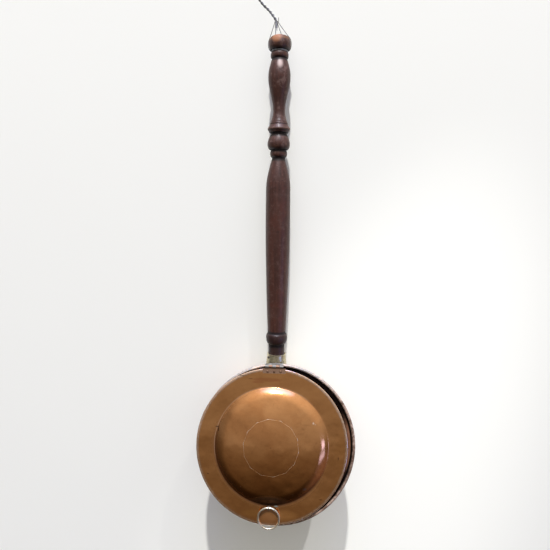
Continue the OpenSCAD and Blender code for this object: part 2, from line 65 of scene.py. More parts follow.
def polar(r, a, z=0):
    """A point by its distance from the upright axis, its angle and its height."""
    return Vector((r * cos(a), r * sin(a), z))

def put(name, data):
    """Puts an object with this data in the scene."""
    thing = bpy.data.objects.new(name, data)
    bpy.context.scene.collection.objects.link(thing)
    return thing

# %% [markdown]
# ## Camera
# The photograph was taken from close by with a wide lens, a little to the right of the handle and
# at about half its height.
# The camera is set by its place, the way it looks and a small roll.

# %% Camera
def look(place, way, roll=0.0):
    """The matrix of a camera or lamp at a place, facing a way."""
    back = -Vector(way).normalized()
    right = Vector((0, 0, 1)).cross(back).normalized()
    up = back.cross(right)
    turn = Matrix((right, up, back)).transposed().to_4x4()
    return Matrix.Translation(place) @ turn @ Matrix.Rotation(roll, 4, "Z")

CAMERA_SPOT, CAMERA_WAY, CAMERA_ROLL = (0.1011, -0.9537, -0.4157), (-0.0595, 0.99, -0.1282), 0.0104
camera = put("camera", bpy.data.cameras.new("camera"))
camera.data.sensor_width, camera.data.lens, camera.data.clip_start = 36, 30.76, 0.01
camera.matrix_world = look(CAMERA_SPOT, CAMERA_WAY, CAMERA_ROLL)
bpy.context.scene.camera = camera
print("camera at", tuple(round(v, 3) for v in camera.location))

# %% [markdown]
# ## Places
# The pan is set at a rake to the handle, as on the real thing, so that it lies flat in a bed while
# the handle rises to the hand. Each place is one matrix that takes millimetres in a piece's own
# upright position to metres in the frame. The lid has slipped a little down and to the left.

# %% Places of the handle, the pan and the lid
RAKE = radians(13.4)
HEEL = Vector((49, -10, -720))
HEEL_TO_PAN, LID_SLIP = (5, -156.6, 26), (-9, -3.4, 8.5)
ON_HANDLE = Matrix.Translation(HEEL * MM) @ Matrix.Scale(MM, 4)
ON_PAN = ON_HANDLE @ Matrix.Rotation(pi / 2 - RAKE, 4, "X") @ Matrix.Translation(HEEL_TO_PAN)
ON_LID = ON_PAN @ Matrix.Translation(LID_SLIP)
print("lid centre", [round(v, 4) for v in ON_LID.translation])

# %% [markdown]
# ## A bench for nodes
# Finishes and rules of geometry are both node trees. Written out node by node they are hard to
# read, so a small class wraps a socket and lets it be added, multiplied and so on like a number.
# One method makes any other node, from its type, its settings and the values or links of its
# sockets. The few nodes that come back everywhere have a short name of their own.

# %% Wire and Bench
class Wire:
    """A socket that makes Math nodes when it is used in arithmetic."""
    def __init__(self, bench, socket):
        self.bench, self.socket = bench, socket

    def __add__(self, other): return self.bench.math("ADD", self, other)
    def __sub__(self, other): return self.bench.math("SUBTRACT", self, other)
    def __rsub__(self, other): return self.bench.math("SUBTRACT", other, self)
    def __mul__(self, other): return self.bench.math("MULTIPLY", self, other)
    def __truediv__(self, other): return self.bench.math("DIVIDE", self, other)
    def __abs__(self): return self.bench.math("ABSOLUTE", self)
    __radd__, __rmul__ = __add__, __mul__


class Bench:
    """A node tree to build on."""
    def __init__(self, tree):
        self.tree = tree

    def node(self, kind, inputs=None, out=0, **settings):
        made = self.tree.nodes.new(kind)
        for name, value in settings.items():
            if name == "stops":
                ramp = made.color_ramp
                while len(ramp.elements) < len(value):
                    ramp.elements.new(1)
                for stop, (place, colour) in zip(ramp.elements, value):
                    stop.position = place
                    stop.color = (*colour, 1)
            else:
                setattr(made, name, value)
        for key, value in (inputs or {}).items():
            if isinstance(value, Wire):
                self.tree.links.new(value.socket, made.inputs[key])
            else:
                made.inputs[key].default_value = value
        return Wire(self, made.outputs[out])

    def math(self, operation, *terms):
        return self.node("ShaderNodeMath", dict(enumerate(terms)), operation=operation)

    def part(self, vector, axis):
        return self.node("ShaderNodeSeparateXYZ", {0: vector}, axis)

    def join(self, first, *others):
        made = self.node("GeometryNodeJoinGeometry", {0: first})
        for other in others:
            self.tree.links.new(other.socket, made.socket.node.inputs[0])
        return made

    def step(self, value, low, high):
        """0 up to low and 1 from high on, with a soft edge; the other way round if low is above."""
        return self.node("ShaderNodeMapRange", {
            "Value": value, "From Min": low, "From Max": high}, interpolation_type="SMOOTHSTEP")

    def colour(self, mask, first, second):
        first, second = [c if isinstance(c, Wire) else (*c, 1) for c in (first, second)]
        return self.node("ShaderNodeMix", {0: mask, 6: first, 7: second}, 2, data_type="RGBA")

# %% [markdown]
# ## A finish
# A finish is a bench with a Principled shader at its end, and the few patterns that old metal and
# wood need: noise in millimetres, bumps and thin scratches. It keeps the tone so far, and every
# stain, rubbed place, painted shade or painted highlight is laid over that tone through a mask.

# %% Finish
class Finish(Bench):
    def __init__(self, name, place=Matrix.Scale(MM, 4)):
        self.material = bpy.data.materials.new(name)
        self.material.use_nodes = True
        super().__init__(self.material.node_tree)
        self.shader = self.tree.nodes["Principled BSDF"]
        spot, turn, size = place.decompose()
        here = self.node("ShaderNodeTexCoord", out=3)
        self.at = self.node("ShaderNodeMapping", {
            "Vector": here, "Location": spot, "Rotation": turn.to_euler(), "Scale": size},
            vector_type="TEXTURE")
        self.x, self.y, self.z = [self.part(self.at, axis) for axis in range(3)]

    def stretched(self, sizes, turn=0.0):
        return self.node("ShaderNodeMapping", {
            "Vector": self.at, "Scale": [1 / s for s in sizes], "Rotation": (0, 0, turn)})

    def noise(self, size, detail=3, rough=0.55, at=None, seed=0.0, warp=0.0):
        return self.node("ShaderNodeTexNoise", {
            "Vector": at or self.at, "W": seed, "Scale": 1 / size, "Detail": detail,
            "Roughness": rough, "Distortion": warp}, noise_dimensions="4D")

    def lay(self, mask, colour):
        """Lays a colour over the tone so far."""
        self.tone = self.colour(mask, self.tone, colour)

    def reach(self, *parts):
        """The length of a vector with these parts."""
        return self.node("ShaderNodeVectorMath", {
            0: self.node("ShaderNodeCombineXYZ", dict(enumerate(parts)))}, 1, operation="LENGTH")

    def scratches(self, length, width, amount, turn, seed):
        lines = self.noise(1, 1, 0.4, self.stretched((width, length, length), turn), seed)
        return self.step(lines, 1 - amount, 1.02 - amount)

    def made(self, name):
        return self.node("ShaderNodeAttribute", out=2, attribute_name=name)

    def finish(self, rough, *bumps, **fixed):
        """Joins tone, roughness and bumps to the shader, and sets what is constant on it.

        A bump is a height and how far it rises, in millimetres.
        """
        normal = None
        for height, rise in bumps:
            before = {"Normal": normal} if normal else {}
            normal = self.node("ShaderNodeBump", {
                "Height": height, "Distance": rise * MM, "Strength": 1.0, **before})
        for key, value in {"Base Color": self.tone, "Roughness": rough, "Normal": normal}.items():
            if isinstance(value, Wire):
                self.tree.links.new(value.socket, self.shader.inputs[key])
            elif value is not None:
                self.shader.inputs[key].default_value = value
        for key, value in fixed.items():
            self.shader.inputs[key.replace("_", " ")].default_value = value
        return self.material

# %% [markdown]
# ## Iron and steel wire
# The twisted wire that the pan hangs by is dull steel, greyed by handling, with a little brown rust
# in the lay. The nail and the hinge pin are darker iron. Both are the same idea: a grey metal, two
# scales of noise for its colour, and a fine bump.

# %% Wire and iron finishes
def steel(name, light, dark, rust):
    f = Finish(name)
    cloud, grain = f.noise(9, 4), f.noise(0.8, 3, seed=3)
    f.tone = f.colour(f.step(cloud, 0.35, 0.7), dark, light)
    f.lay(f.step(f.noise(4, 4, seed=7), 0.55, 0.75) * 0.7, rust)
    return f.finish(0.34 + 0.3 * cloud, (grain, 0.08), Metallic=0.9)

WIRE = steel("wire", (0.36, 0.36, 0.37), (0.13, 0.128, 0.13), (0.12, 0.085, 0.06))
IRON = steel("iron", (0.13, 0.115, 0.105), (0.05, 0.042, 0.038), (0.1, 0.045, 0.022))
print("finishes:", [m.name for m in (WIRE, IRON)])

# %% [markdown]
# ## Pieces
# A piece is a mesh with a finish, smooth where it is round and sharp at its edges. It rides on the
# body that carries it, and may stand for solids of the frame.

# %% piece()
def piece(name, mesh, finish, body, slot, node, sharp=38):
    """Makes a mesh a piece that rides on a body and stands for a solid of the frame."""
    thing = put(name, mesh)
    mesh.materials.clear()
    mesh.materials.append(finish)
    mesh.shade_smooth()
    mesh.set_sharp_from_angle(angle=radians(sharp))
    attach(thing, body)
    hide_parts(node)
    print(name, len(mesh.polygons), "faces")
    return thing

# %% settle(): the result of a Geometry Nodes modifier as a plain mesh
def settle(thing):
    bpy.context.view_layer.update()
    seen = thing.evaluated_get(bpy.context.evaluated_depsgraph_get())
    mesh = bpy.data.meshes.new_from_object(seen)
    bpy.data.batch_remove([thing, thing.data])
    return mesh

# %% rule(): a Geometry Nodes tree with named sizes
def rule(name, sizes):
    tree = bpy.data.node_groups.new(name, "GeometryNodeTree")
    tree.interface.new_socket("Geometry", in_out="INPUT", socket_type="NodeSocketGeometry")
    for size, value in sizes.items():
        kind = "NodeSocketInt" if isinstance(value, int) else "NodeSocketFloat"
        tree.interface.new_socket(size, in_out="INPUT", socket_type=kind)
    tree.interface.new_socket("Material", in_out="INPUT", socket_type="NodeSocketMaterial")
    tree.interface.new_socket("Geometry", in_out="OUTPUT", socket_type="NodeSocketGeometry")
    bench = Bench(tree)
    start = tree.nodes.new("NodeGroupInput")
    return bench, {socket.name: Wire(bench, socket) for socket in start.outputs if socket.name}

def close(bench, shape, material):
    real = bench.node("GeometryNodeRealizeInstances", {0: shape})
    dressed = bench.node("GeometryNodeSetMaterial", {"Geometry": real, "Material": material})
    bench.tree.links.new(dressed.socket, bench.tree.nodes.new("NodeGroupOutput").inputs[0])
    return bench.tree

def use(thing, tree, sizes, material):
    worker = thing.modifiers.new(tree.name, "NODES")
    worker.node_group = tree
    values = {**sizes, "Material": material}
    for socket in tree.interface.items_tree:
        if socket.in_out == "INPUT" and socket.name in values:
            worker[socket.identifier] = values[socket.name]
    return settle(thing)

# %% [markdown]
# ## The hanging wire
# Two strands of steel wire are twisted together and lead up to a nail. A pair of round profiles is
# swept along the route, and the route is tilted steadily, so the pair winds round itself: that is
# the whole rule of a twisted wire, and it needs only its pitch and the size of a strand.

# %% The rule of a twisted wire
SIZES = {"Strand": 1.25 * MM, "Pitch": 17.0 * MM, "Step": 0.8 * MM}
b, given = rule("twisted wire", SIZES)
line = b.node("GeometryNodeResampleCurve", {
    "Curve": given["Geometry"], "Length": given["Step"]}, mode="LENGTH")
run = b.node("GeometryNodeSplineParameter", out=1)
line = b.node("GeometryNodeSetCurveTilt", {
    "Curve": line, "Tilt": run / given["Pitch"] * (2 * pi)})
circle = b.node("GeometryNodeCurvePrimitiveCircle", {"Resolution": 12, "Radius": given["Strand"]})
sides = []
for side in (-1, 1):
    off = b.node("ShaderNodeCombineXYZ", {0: given["Strand"] * side})
    sides.append(b.node("GeometryNodeTransform", {"Geometry": circle, "Translation": off}))
swept = b.node("GeometryNodeCurveToMesh", {
    "Curve": line, "Profile Curve": b.join(*sides), "Fill Caps": True})
TWIST = close(b, swept, given["Material"])

# %% A smooth curve through points
def thread(points):
    curve = bpy.data.curves.new("thread", "CURVE")
    curve.dimensions = "3D"
    spline = curve.splines.new("POLY")
    spline.points.add(len(points) - 1)
    for slot, point in zip(spline.points, points):
        slot.co = (*point, 1)
    return put("thread", curve)

# %% The hanging wire along its route
ROUTE = [
    (42, -10, -52), (40, -9.8, -48.7), (37.9, -9.2, -45.4), (35.7, -8.4, -42.2),
    (33.4, -7.4, -38.9), (31.1, -6.4, -35.7), (28.7, -5.3, -32.6), (26.1, -4.2, -29.6),
    (23.4, -3.2, -26.7), (20.6, -2.3, -24), (17.8, -1.5, -21.2), (15.3, -0.9, -18.2),
    (12.8, -0.4, -15.1), (10.5, -0.1, -12.3), (8.4, 0, -9.9)]
route = [Vector(p) * MM for p in ROUTE]
mesh = use(thread(route), TWIST, SIZES, WIRE)
hanging_wire = piece("hanging_wire_pair", mesh, WIRE, "pan", "wire", "hanging_wire", sharp=60)

# %% The loop for the nail, with the wire's end wound round its neck
def bar(points, radius, sides=12, closed=False):
    """A round bar along points, in a frame that turns as little as it can."""
    points = [Vector(p) for p in points]
    count = len(points)
    rings, side = [], None
    for i, point in enumerate(points):
        after = points[(i + 1) % count] if closed or i + 1 < count else point
        before = points[i - 1] if closed or i else point
        way = (after - before).normalized()
        if side is None:
            side = way.orthogonal()
        side = (side - way * side.dot(way)).normalized()
        other = way.cross(side)
        r = radius(i / (count - 1)) if callable(radius) else radius
        rings.append([point + r * (cos(a) * side + sin(a) * other)
                      for a in (2 * pi * k / sides for k in range(sides))])
    faces = [(i * sides + k, i * sides + (k + 1) % sides,
              (i + 1) % count * sides + (k + 1) % sides, (i + 1) % count * sides + k)
             for i in range(count if closed else count - 1) for k in range(sides)]
    if not closed:
        faces += [tuple(range(sides))[::-1], tuple((count - 1) * sides + k for k in range(sides))]
    return skin_of([p for ring in rings for p in ring], faces)

def skin_of(points, faces):
    mesh = bpy.data.meshes.new("skin")
    mesh.from_pydata(points, [], faces)
    return tidy(mesh)

def tidy(mesh):
    """Joins points that coincide and turns the faces outwards."""
    work = bmesh.new()
    work.from_mesh(mesh)
    bmesh.ops.remove_doubles(work, verts=work.verts, dist=1e-6)
    bmesh.ops.recalc_face_normals(work, faces=work.faces)
    work.to_mesh(mesh)
    work.free()
    return mesh

def joined(*meshes):
    work = bmesh.new()
    for mesh in meshes:
        work.from_mesh(mesh)
        bpy.data.meshes.remove(mesh)
    mesh = bpy.data.meshes.new("joined")
    work.to_mesh(mesh)
    work.free()
    return mesh

LOOP_R = 7.2
neck = route[-1].normalized()
ring = [(LOOP_R * MM * cos(a), 0, LOOP_R * MM * sin(a)) for a in np.linspace(0, 2 * pi, 65)[:-1]]
across = neck.orthogonal().normalized()
aside = neck.cross(across)
WOUND_AT, WOUND_H, WOUND_R, WOUND_STEP = 8.2, 4.6, 1.25, 0.62
wound = [neck * (WOUND_AT + WOUND_H * t / 60) * MM
         + WOUND_R * MM * (cos(t * WOUND_STEP) * across + sin(t * WOUND_STEP) * aside)
         for t in range(61)]
core = [neck * LOOP_R * MM, neck * 10 * MM, neck * route[-1].length]
mesh = joined(bar(ring, 1.15 * MM, closed=True), bar(core, 0.75 * MM), bar(wound, 0.52 * MM, 8))
hanging_loop = piece("hanging_loop_wire", mesh, WIRE, "pan", "wire", "hanging_loop", sharp=60)

# %% [markdown]
# ## Copper, worked and worn
# Pan and lid were raised from sheet copper, planished, and then polished by hand for a hundred
# years or more. Such copper is never one colour: thin tarnish makes it browner in soft clouds, the
# cloth leaves fine rubbed marks that run round, liquid leaves darker specks, and raised edges stay
# bright. Each of these is one mask, at its own scale, and masks are mixed one over another.

# %% The copper finish
def copper(name, place, bright, brown, dark):
    f = Finish(name, place)
    cloud = f.noise(62, 5, 0.6, seed=1.3, warp=0.6)
    patch = f.noise(17, 5, 0.65, seed=4.1, warp=1.2)
    fine = f.noise(2.4, 4, 0.7, seed=9.0)
    f.tone = f.colour(f.step(cloud, 0.36, 0.68), bright, brown)
    f.lay(f.step(patch, 0.5, 0.82) * 0.55, dark)
    spots, areas = f.noise(1.7, 2, 0.5, seed=5.5), f.noise(34, 3, seed=8.8)
    speck = f.step(spots, 0.72, 0.76) * f.step(areas, 0.5, 0.66)
    f.lay(speck * 0.25, [c * 0.5 for c in dark])
    rubs = (f.scratches(26, 0.16, 0.3, 0.35, 2.2) + f.scratches(34, 0.13, 0.28, -0.9, 6.1)
            + f.scratches(20, 0.2, 0.26, 1.9, 3.7))
    f.lay(rubs * 0.1, [min(1, c * 1.5) for c in bright])
    f.speck, f.cloud, f.patch, f.fine, f.rubs = speck, cloud, patch, fine, rubs
    f.far = f.reach(f.x, f.y)
    return f

# %% [markdown]
# ## The lid's finish
# The lid carries one ornament, a scalloped circle that was scribed with compasses and tapped in
# with a small punch, and the mark that the compass point left in the middle. It is so shallow that
# a shader can cut it: the distance from the scalloped line gives both the groove and its colour.
# Dark wax stays in the foot of the dome and round the ring's eye, where a cloth can't reach, and
# painted shade darkens the foot towards the lower left and round the eye. A painted dark crescent
# is the ring's shadow where it rests, painted highlights lie along the top of the foot and, with
# worn metal, on the rolled edge, a few painted glints dot the dome, and the inside is dull with
# smoke.

# %% The lid's finish
SCALLOPS = 14
PAINTED_GLINT, INK, STAIN = (1.0, 0.75, 0.6), (0.08, 0.035, 0.02), (0.5, 0.2, 0.075)
# Marks on the lid: x, y, half the width and half the height in millimetres, and the colour.
# The three palest spots and the pale violet one are painted glints; the others are real marks.
LID_MARKS = [
    (81.5, 47.4, 2.2, 2.6, PAINTED_GLINT), (85.5, 45, 1.2, 0.8, PAINTED_GLINT), (43.6, -88, 1.4, 1.4, PAINTED_GLINT),
    (66.4, -77.6, 5, 3.2, (0.7, 0.5, 0.45)), (-108.5, 33, 5, 1.3, INK), (-106, 28, 1.5, 5, INK),
    (-63, 133.9, 9, 0.7, INK), (-45, 128.5, 6, 0.6, INK), (119, -89, 3, 0.8, INK),
    (131, -20, 0.9, 4, INK), (-124, -58, 2.4, 1.0, INK), (-12, 127, 38, 5, STAIN),
    (-30, 122, 16, 3, STAIN), (98, -98, 4, 1.4, (0.3, 0.1, 0.03))]
RUBBED = [(-2, -136, 26, 17, (0.82, 0.41, 0.19)), (30, -130, 34, 13, (0.85, 0.42, 0.16)),
          (-36, -128, 26, 10, (0.66, 0.32, 0.11))]

def lid_finish():
    f = copper("lid_copper", ON_LID, (0.72, 0.34, 0.135), (0.6, 0.26, 0.095), (0.36, 0.145, 0.05))
    turn = f.math("ARCTAN2", f.y, f.x)
    part = f.math("FRACT", turn * (SCALLOPS / (2 * pi)) + 0.25)
    scallop = 54.2 - 1.5 * f.math("SINE", part * pi)
    off = abs(f.far - scallop)
    punched = f.step(f.noise(1.1, 1, seed=2.0), 0.3, 0.5)
    cusp = f.step(abs(part - 0.5), 0.3, 0.46)
    kept = f.step(f.noise(8, 2, 0.5, seed=31.0), 0.42, 0.58)
    groove = f.step(off, 0.5, 0.16) * (0.35 + 0.65 * punched)
    drawn = groove * (0.08 + 0.5 * kept + 0.7 * cusp)
    mark = f.step(f.far, 1.1, 0.4)
    # Some dark wax in the dome's foot, made much darker towards the lower left as painted shade.
    foot_wax_and_shade = f.step(f.far, 104, 111) * f.step(f.far, 121, 113.5)
    rim = f.step(f.far, 143.5, 147.5)
    shade_side = f.step(-0.5 * f.x - f.y, -20, 60)
    foot_wax_and_shade = foot_wax_and_shade * (0.12 + 0.88 * shade_side)
    f.lay(foot_wax_and_shade * (0.45 + 0.5 * f.patch), (0.13, 0.055, 0.025))
    # A painted highlight along the top of the dome's foot.
    foot_highlight = f.step(abs(f.far - 113.5), 1.0, 0.3) * f.step(f.y - 0.6 * f.x, 20, 70)
    f.lay(foot_highlight * 0.45, (0.95, 0.62, 0.42))
    f.lay(f.step(f.far, 112, 118) * (1 - rim) * 0.6, (0.52, 0.24, 0.085))
    # Pale worn metal on the rolled edge, which also stands for the highlight that the edge catches.
    f.lay(rim * f.step(f.fine, 0.3, 0.6) * 0.75, (0.95, 0.78, 0.66))
    outer = f.made("outer")
    oval = lambda x, y, wide, tall: f.reach((f.x - x) / wide, (f.y - y) / tall)
    groove, mark = groove * outer, mark * outer
    smoke = f.noise(42, 5, 0.65, seed=23.0, warp=0.5) + 0.12 * f.fine
    smoke = f.step(smoke, 0.35, 0.8) * (1 - outer)
    f.lay(smoke * 0.8, (0.1, 0.055, 0.038))
    f.lay(drawn * outer * 0.9, (0.95, 0.72, 0.55))
    f.lay(mark * 0.8, (0.12, 0.06, 0.04))
    # Painted shade in patches where the flange turns down into the rolled edge.
    edge_shade = f.step(abs(f.far - 145.4), 0.7, 0.2)
    f.lay(edge_shade * f.step(f.patch, 0.35, 0.6) * 0.7, (0.2, 0.08, 0.03))
    for x, y, wide, tall, shade in LID_MARKS:
        f.lay(f.step(oval(x, y, wide, tall), 1.0, 0.5) * outer * 0.85, shade)
    for x, y, wide, tall, shade in RUBBED:
        f.lay(f.step(oval(x, y, wide, tall) + 0.3 * f.patch, 1.1, 0.4) * outer * 0.85, shade)
    # Dark grime round the ring's eye, with the eye's painted shadow on the flange.
    grime_and_shadow = f.step(oval(-2, -104, 46, 15), 1.0, 0.5) * (0.7 + 0.3 * f.patch)
    f.lay(grime_and_shadow, (0.035, 0.017, 0.01))
    # A painted dark crescent: the ring's shadow on the flange below its top.
    ring_shadow = f.step(oval(-2, -144.5, 1, 1.06), 16, 19.5) * f.step(oval(-2, -141, 1, 1.06), 22, 20.5)
    ring_shadow = ring_shadow * f.step(f.y, -142, -132)
    f.lay(ring_shadow * outer * 0.68, (0.04, 0.022, 0.015))
    green = f.step(oval(12, -114, 6, 2.2) + 0.5 * f.fine, 1.1, 0.6)
    f.lay(green * outer * 0.65, (0.4, 0.5, 0.45))
    rough = (0.08 + 0.08 * f.cloud + 0.08 * f.patch + 0.05 * f.rubs + 0.2 * f.speck
             + 0.3 * foot_wax_and_shade + 0.3 * groove + 0.3 * ring_shadow + 0.45 * grime_and_shadow + 0.3 * smoke)
    return f.finish(
        rough, (f.noise(34, 2, 0.4, seed=7.7), 0.95), (f.noise(11, 2, 0.4, seed=1.1), 0.07),
        (0.15 * f.fine - f.rubs * 0.2, 0.006), (0 - groove - mark * 2, 0.07), Metallic=1.0)

# %% [markdown]
# ## The pan's finish
# The pan was hammered over a stake, so its wall shows the facets of the hammer. Embers have left
# soot inside. The ledge under the lid is dark with tarnish, and painted shade makes it nearly black
# towards the top and bottom and in the channel inside the rolled rim. The rim's top is painted a
# paler grey, as a painted reflection of the ceiling.

# %% The pan's finish
def pan_finish():
    f = copper("pan_copper", ON_PAN, (0.58, 0.29, 0.16), (0.4, 0.18, 0.09), (0.2, 0.09, 0.05))
    inner = 1 - f.made("outer")
    smoke = f.noise(48, 5, 0.65, seed=3.0, warp=0.5) + 0.12 * f.fine
    soot = f.step(smoke + f.step(f.z, -25, -70) * 0.22 + 0.16 * inner, 0.45, 0.9)
    f.lay(soot * (0.68 + 0.22 * inner), (0.075, 0.045, 0.034))
    # Tarnish on the ledge, with painted shade that makes it nearly black towards the top and
    # bottom.
    ledge_tarnish_and_shade = f.step(f.far, 137, 140) * f.step(f.z, -3, -0.5)
    aside = abs(f.y - 2)
    shade = f.step(aside + 20 * f.patch, 34, 74)
    f.lay(ledge_tarnish_and_shade * (0.3 + 0.7 * shade), (0.01, 0.006, 0.005))
    # Painted shadow: a black channel just inside the rolled rim.
    f.lay(f.step(f.far, 145.5, 147.5) * f.step(f.z, -3, -0.5), (0.008, 0.005, 0.004))
    rim = f.step(f.far, 149.2, 151) * f.step(f.z, -0.5, 0.8)
    # The rim's top is painted a paler grey: a painted reflection of the ceiling.
    f.lay(rim * 0.8, f.colour(f.step(f.y, 70, 135), (0.27, 0.17, 0.115), (0.5, 0.46, 0.42)))
    f.lay(rim * f.step(f.patch + 0.4 * f.fine, 0.62, 0.82) * 0.6, (0.86, 0.66, 0.52))
    hammer = f.node("ShaderNodeTexVoronoi", {
        "Vector": f.at, "Scale": 1 / 11, "Smoothness": 0.6}, feature="SMOOTH_F1")
    rough = (0.2 + 0.14 * f.cloud + 0.14 * f.patch + 0.1 * f.rubs + 0.2 * f.speck
             + 0.24 * soot + 0.3 * ledge_tarnish_and_shade)
    return f.finish(rough, (hammer * hammer, 0.5), (f.noise(26, 2, 0.4, seed=7.7), 0.5),
                    (0.4 * f.fine - f.rubs * 0.3, 0.03), Metallic=1.0)

LID_COPPER, PAN_COPPER = lid_finish(), pan_finish()
print("copper nodes:", len(LID_COPPER.node_tree.nodes), len(PAN_COPPER.node_tree.nodes))

# %% [markdown]
# ## Bent sheet
# A spun or raised vessel is a sheet that goes round an axis. Its middle line is a short list of
# moves, straight or along an arc; both faces lie half the sheet's thickness off it, and the wired
# edge is just one more arc of 300 degrees. Real sheet isn't perfect, so each piece gets a soft
# unevenness and a few dents, moved in the mesh, because the eye reads them from the reflections.

# %% walk(), both_sides(), spun() and keep()
def walk(moves, spot, step):
    """Points and headings along straight moves (length, 0) and arcs (radius, degrees)."""
    spot, heading, path = Vector(spot), 0.0, []
    for size, turn in moves:
        turn = radians(turn)
        length = size * abs(turn) if turn else size
        count = max(2, ceil(length / step), ceil(abs(turn) / 0.2))
        side = copysign(size, turn)
        centre = spot + side * Vector((-sin(heading), cos(heading)))
        for k in range(count + 1):
            a = heading + turn * k / count
            point = centre - side * Vector((-sin(a), cos(a))) if turn else \
                spot + size * k / count * Vector((cos(a), sin(a)))
            if k < count:
                path.append((point, a))
        spot, heading = point, heading + turn
    return path + [(spot, heading)]

def both_sides(path, thick):
    faces = []
    for off in (-thick / 2, thick / 2):
        faces.append([p + off * Vector((-sin(a), cos(a))) for p, a in path])
    return faces[0] + faces[1][::-1]

def spun(outline, place, sides, shift):
    """Turns an outline of (radius, height) that starts and ends on the axis."""
    points, faces, rows = [], [], []
    for i, (r, z) in enumerate(outline):
        pole = r < 1e-4
        rows.append((len(points), pole))
        for k in range(1 if pole else sides):
            a = 2 * pi * k / sides
            points.append(place @ shift(polar(r, a, z), a))
    for (here, a_pole), (there, b_pole) in zip(rows, rows[1:]):
        for k in range(sides):
            n = (k + 1) % sides
            low = [here] if a_pole else [here + k, here + n]
            high = [there] if b_pole else [there + n, there + k]
            if len(low) + len(high) > 2:
                faces.append(low + high)
    return skin_of(points, faces)

def keep(mesh, name, place, measure):
    """Keeps with the mesh a measure of each point, from its spot and the way it faces."""
    back = place.inverted()
    turn = back.to_3x3()
    kept = mesh.attributes.new(name, "FLOAT", "POINT")
    for vertex in mesh.vertices:
        way = (turn @ vertex.normal).normalized()
        kept.data[vertex.index].value = float(measure(back @ vertex.co, way))

# %% The lid: dome, flange and wired edge
LID_R, LID_T, DOME_R, FOOT_R, SHOULDER_R, EDGE_ROLL = 150.0, 1.0, 113.0, 3, 40, 1.35
# Dents: x, y, radius and depth
LID_DENTS = [
    (-63, 31, 17, 0.9), (58, 46, 9, -0.35), (71, 8, 8, 0.55), (-20, -83, 14, -0.5),
    (35, -74, 7, 0.5), (-96, -47, 11, 0.6), (88, -55, 12, -0.5), (12, 92, 9, 0.35),
    (-48, -38, 22, 0.35), (129, 20, 6, 0.35)]

def lid_shift(p, a):
    """Slow waves, dents, and a flange that is no longer quite flat."""
    far = hypot(p.x, p.y)
    soft = (noise.noise(Vector((p.x, p.y, 40)) / 58) * 0.9
            + noise.noise(Vector((p.x, p.y, 9)) / 23) * 0.3)
    dents = sum(d * exp(-((p.x - x) ** 2 + (p.y - y) ** 2) / r ** 2) for x, y, r, d in LID_DENTS)
    edge = max(0, far - 118) / 32
    wave = edge * 0.35 * sin(3 * a + 1.0) + edge * 0.2 * sin(7 * a)
    return p + Vector((0, 0, soft * min(1, far / 20) * 0.5 - dents * 0.6 + abs(wave) * 0.7))

CROWN, STEEP = 12, 44
crown, steep = radians(CROWN), radians(STEEP)
shoulder_w = FOOT_R * sin(steep) + SHOULDER_R * (sin(steep) - sin(crown))
crown_r = (DOME_R - shoulder_w) / sin(crown)
dome_h = (FOOT_R * (1 - cos(steep)) + SHOULDER_R * (cos(crown) - cos(steep))
          + crown_r * (1 - cos(crown)))
flange = LID_R - EDGE_ROLL - LID_T / 2 - DOME_R
LID_MOVES = [(crown_r, -CROWN), (SHOULDER_R, CROWN - STEEP), (FOOT_R, STEEP), (flange, 0),
             (EDGE_ROLL, -300)]
lid_line = walk(LID_MOVES, (0, dome_h - LID_T / 2), step=1.6)
mesh = spun(both_sides(lid_line, LID_T), ON_LID, sides=288, shift=lid_shift)
keep(mesh, "outer", ON_LID, lambda spot, way: way.z > 0)
piece("lid_sheet", mesh, LID_COPPER, "lid", "lid_copper", "lid")
print("dome height", round(dome_h, 2), "mm")

# %% The pan: base, wall, ledge and wired rim
WALL_LEAN, PAN_T, BASE_Z = 8, 1.2, -67.4
# Base, corner, wall, lip, ledge and rolled rim: a length and 0, or a radius and an angle
PAN_MOVES = [(103.94, 0), (30, 90 - WALL_LEAN), (37.03, 0), (5, WALL_LEAN - 90), (9, 0),
             (2.25, 300)]
# Dents: distance from the axis, angle, radius and depth
PAN_DENTS = [(120, 0.9, 16, 1.2), (40, 2.8, 12, 0.9), (70, 4.4, 20, -1.0), (134, 5.4, 13, 0.8)]

def pan_shift(p, a):
    """Moves the base up or down and the wall in or out, and leaves the ledge as it is."""
    far = hypot(p.x, p.y)
    soft = noise.noise(p / 46) * 1.1 + noise.noise(p / 19) * 0.35
    dent = sum(d * exp(-((far - r) ** 2 + (far * (a - t)) ** 2) / s ** 2)
               for r, t, s, d in PAN_DENTS)
    low = min(1, max(0, -p.z - 4) / 20) * min(1, far / 25)
    way = Vector((0, 0, 1)) if far < 100 else Vector((p.x, p.y, 0)).normalized() * -0.5
    return p + way * (soft * 0.4 - abs(dent) * 0.4) * low

def outside_pan(spot, way):
    outward = way.x * spot.x + way.y * spot.y > 0.1
    return spot.z > -3 or way.z < -0.1 or (way.z < 0.5 and outward)

pan_line = walk(PAN_MOVES, (0, BASE_Z), step=2.0)
mesh = spun(both_sides(pan_line, PAN_T), ON_PAN, sides=256, shift=pan_shift)
keep(mesh, "outer", ON_PAN, outside_pan)
piece("pan_sheet", mesh, PAN_COPPER, "pan", "pan_copper", "pan_bowl")

# %% [markdown]
# ## The turned handle
# The handle is fruitwood, turned on a lathe, stained and varnished, with a vase, beads and a ball
# towards the knob and one long plain taper. A lathe cuts a profile, so the piece is a profile that
# goes round: a list of heights and radii, and how the line leads from one to the next. How far a
# spot stands out from its surroundings is kept with the mesh, since hands polish what stands out,
# and what lies back is darker with dirt and with painted shade. Faces that point down get painted
# shade too.

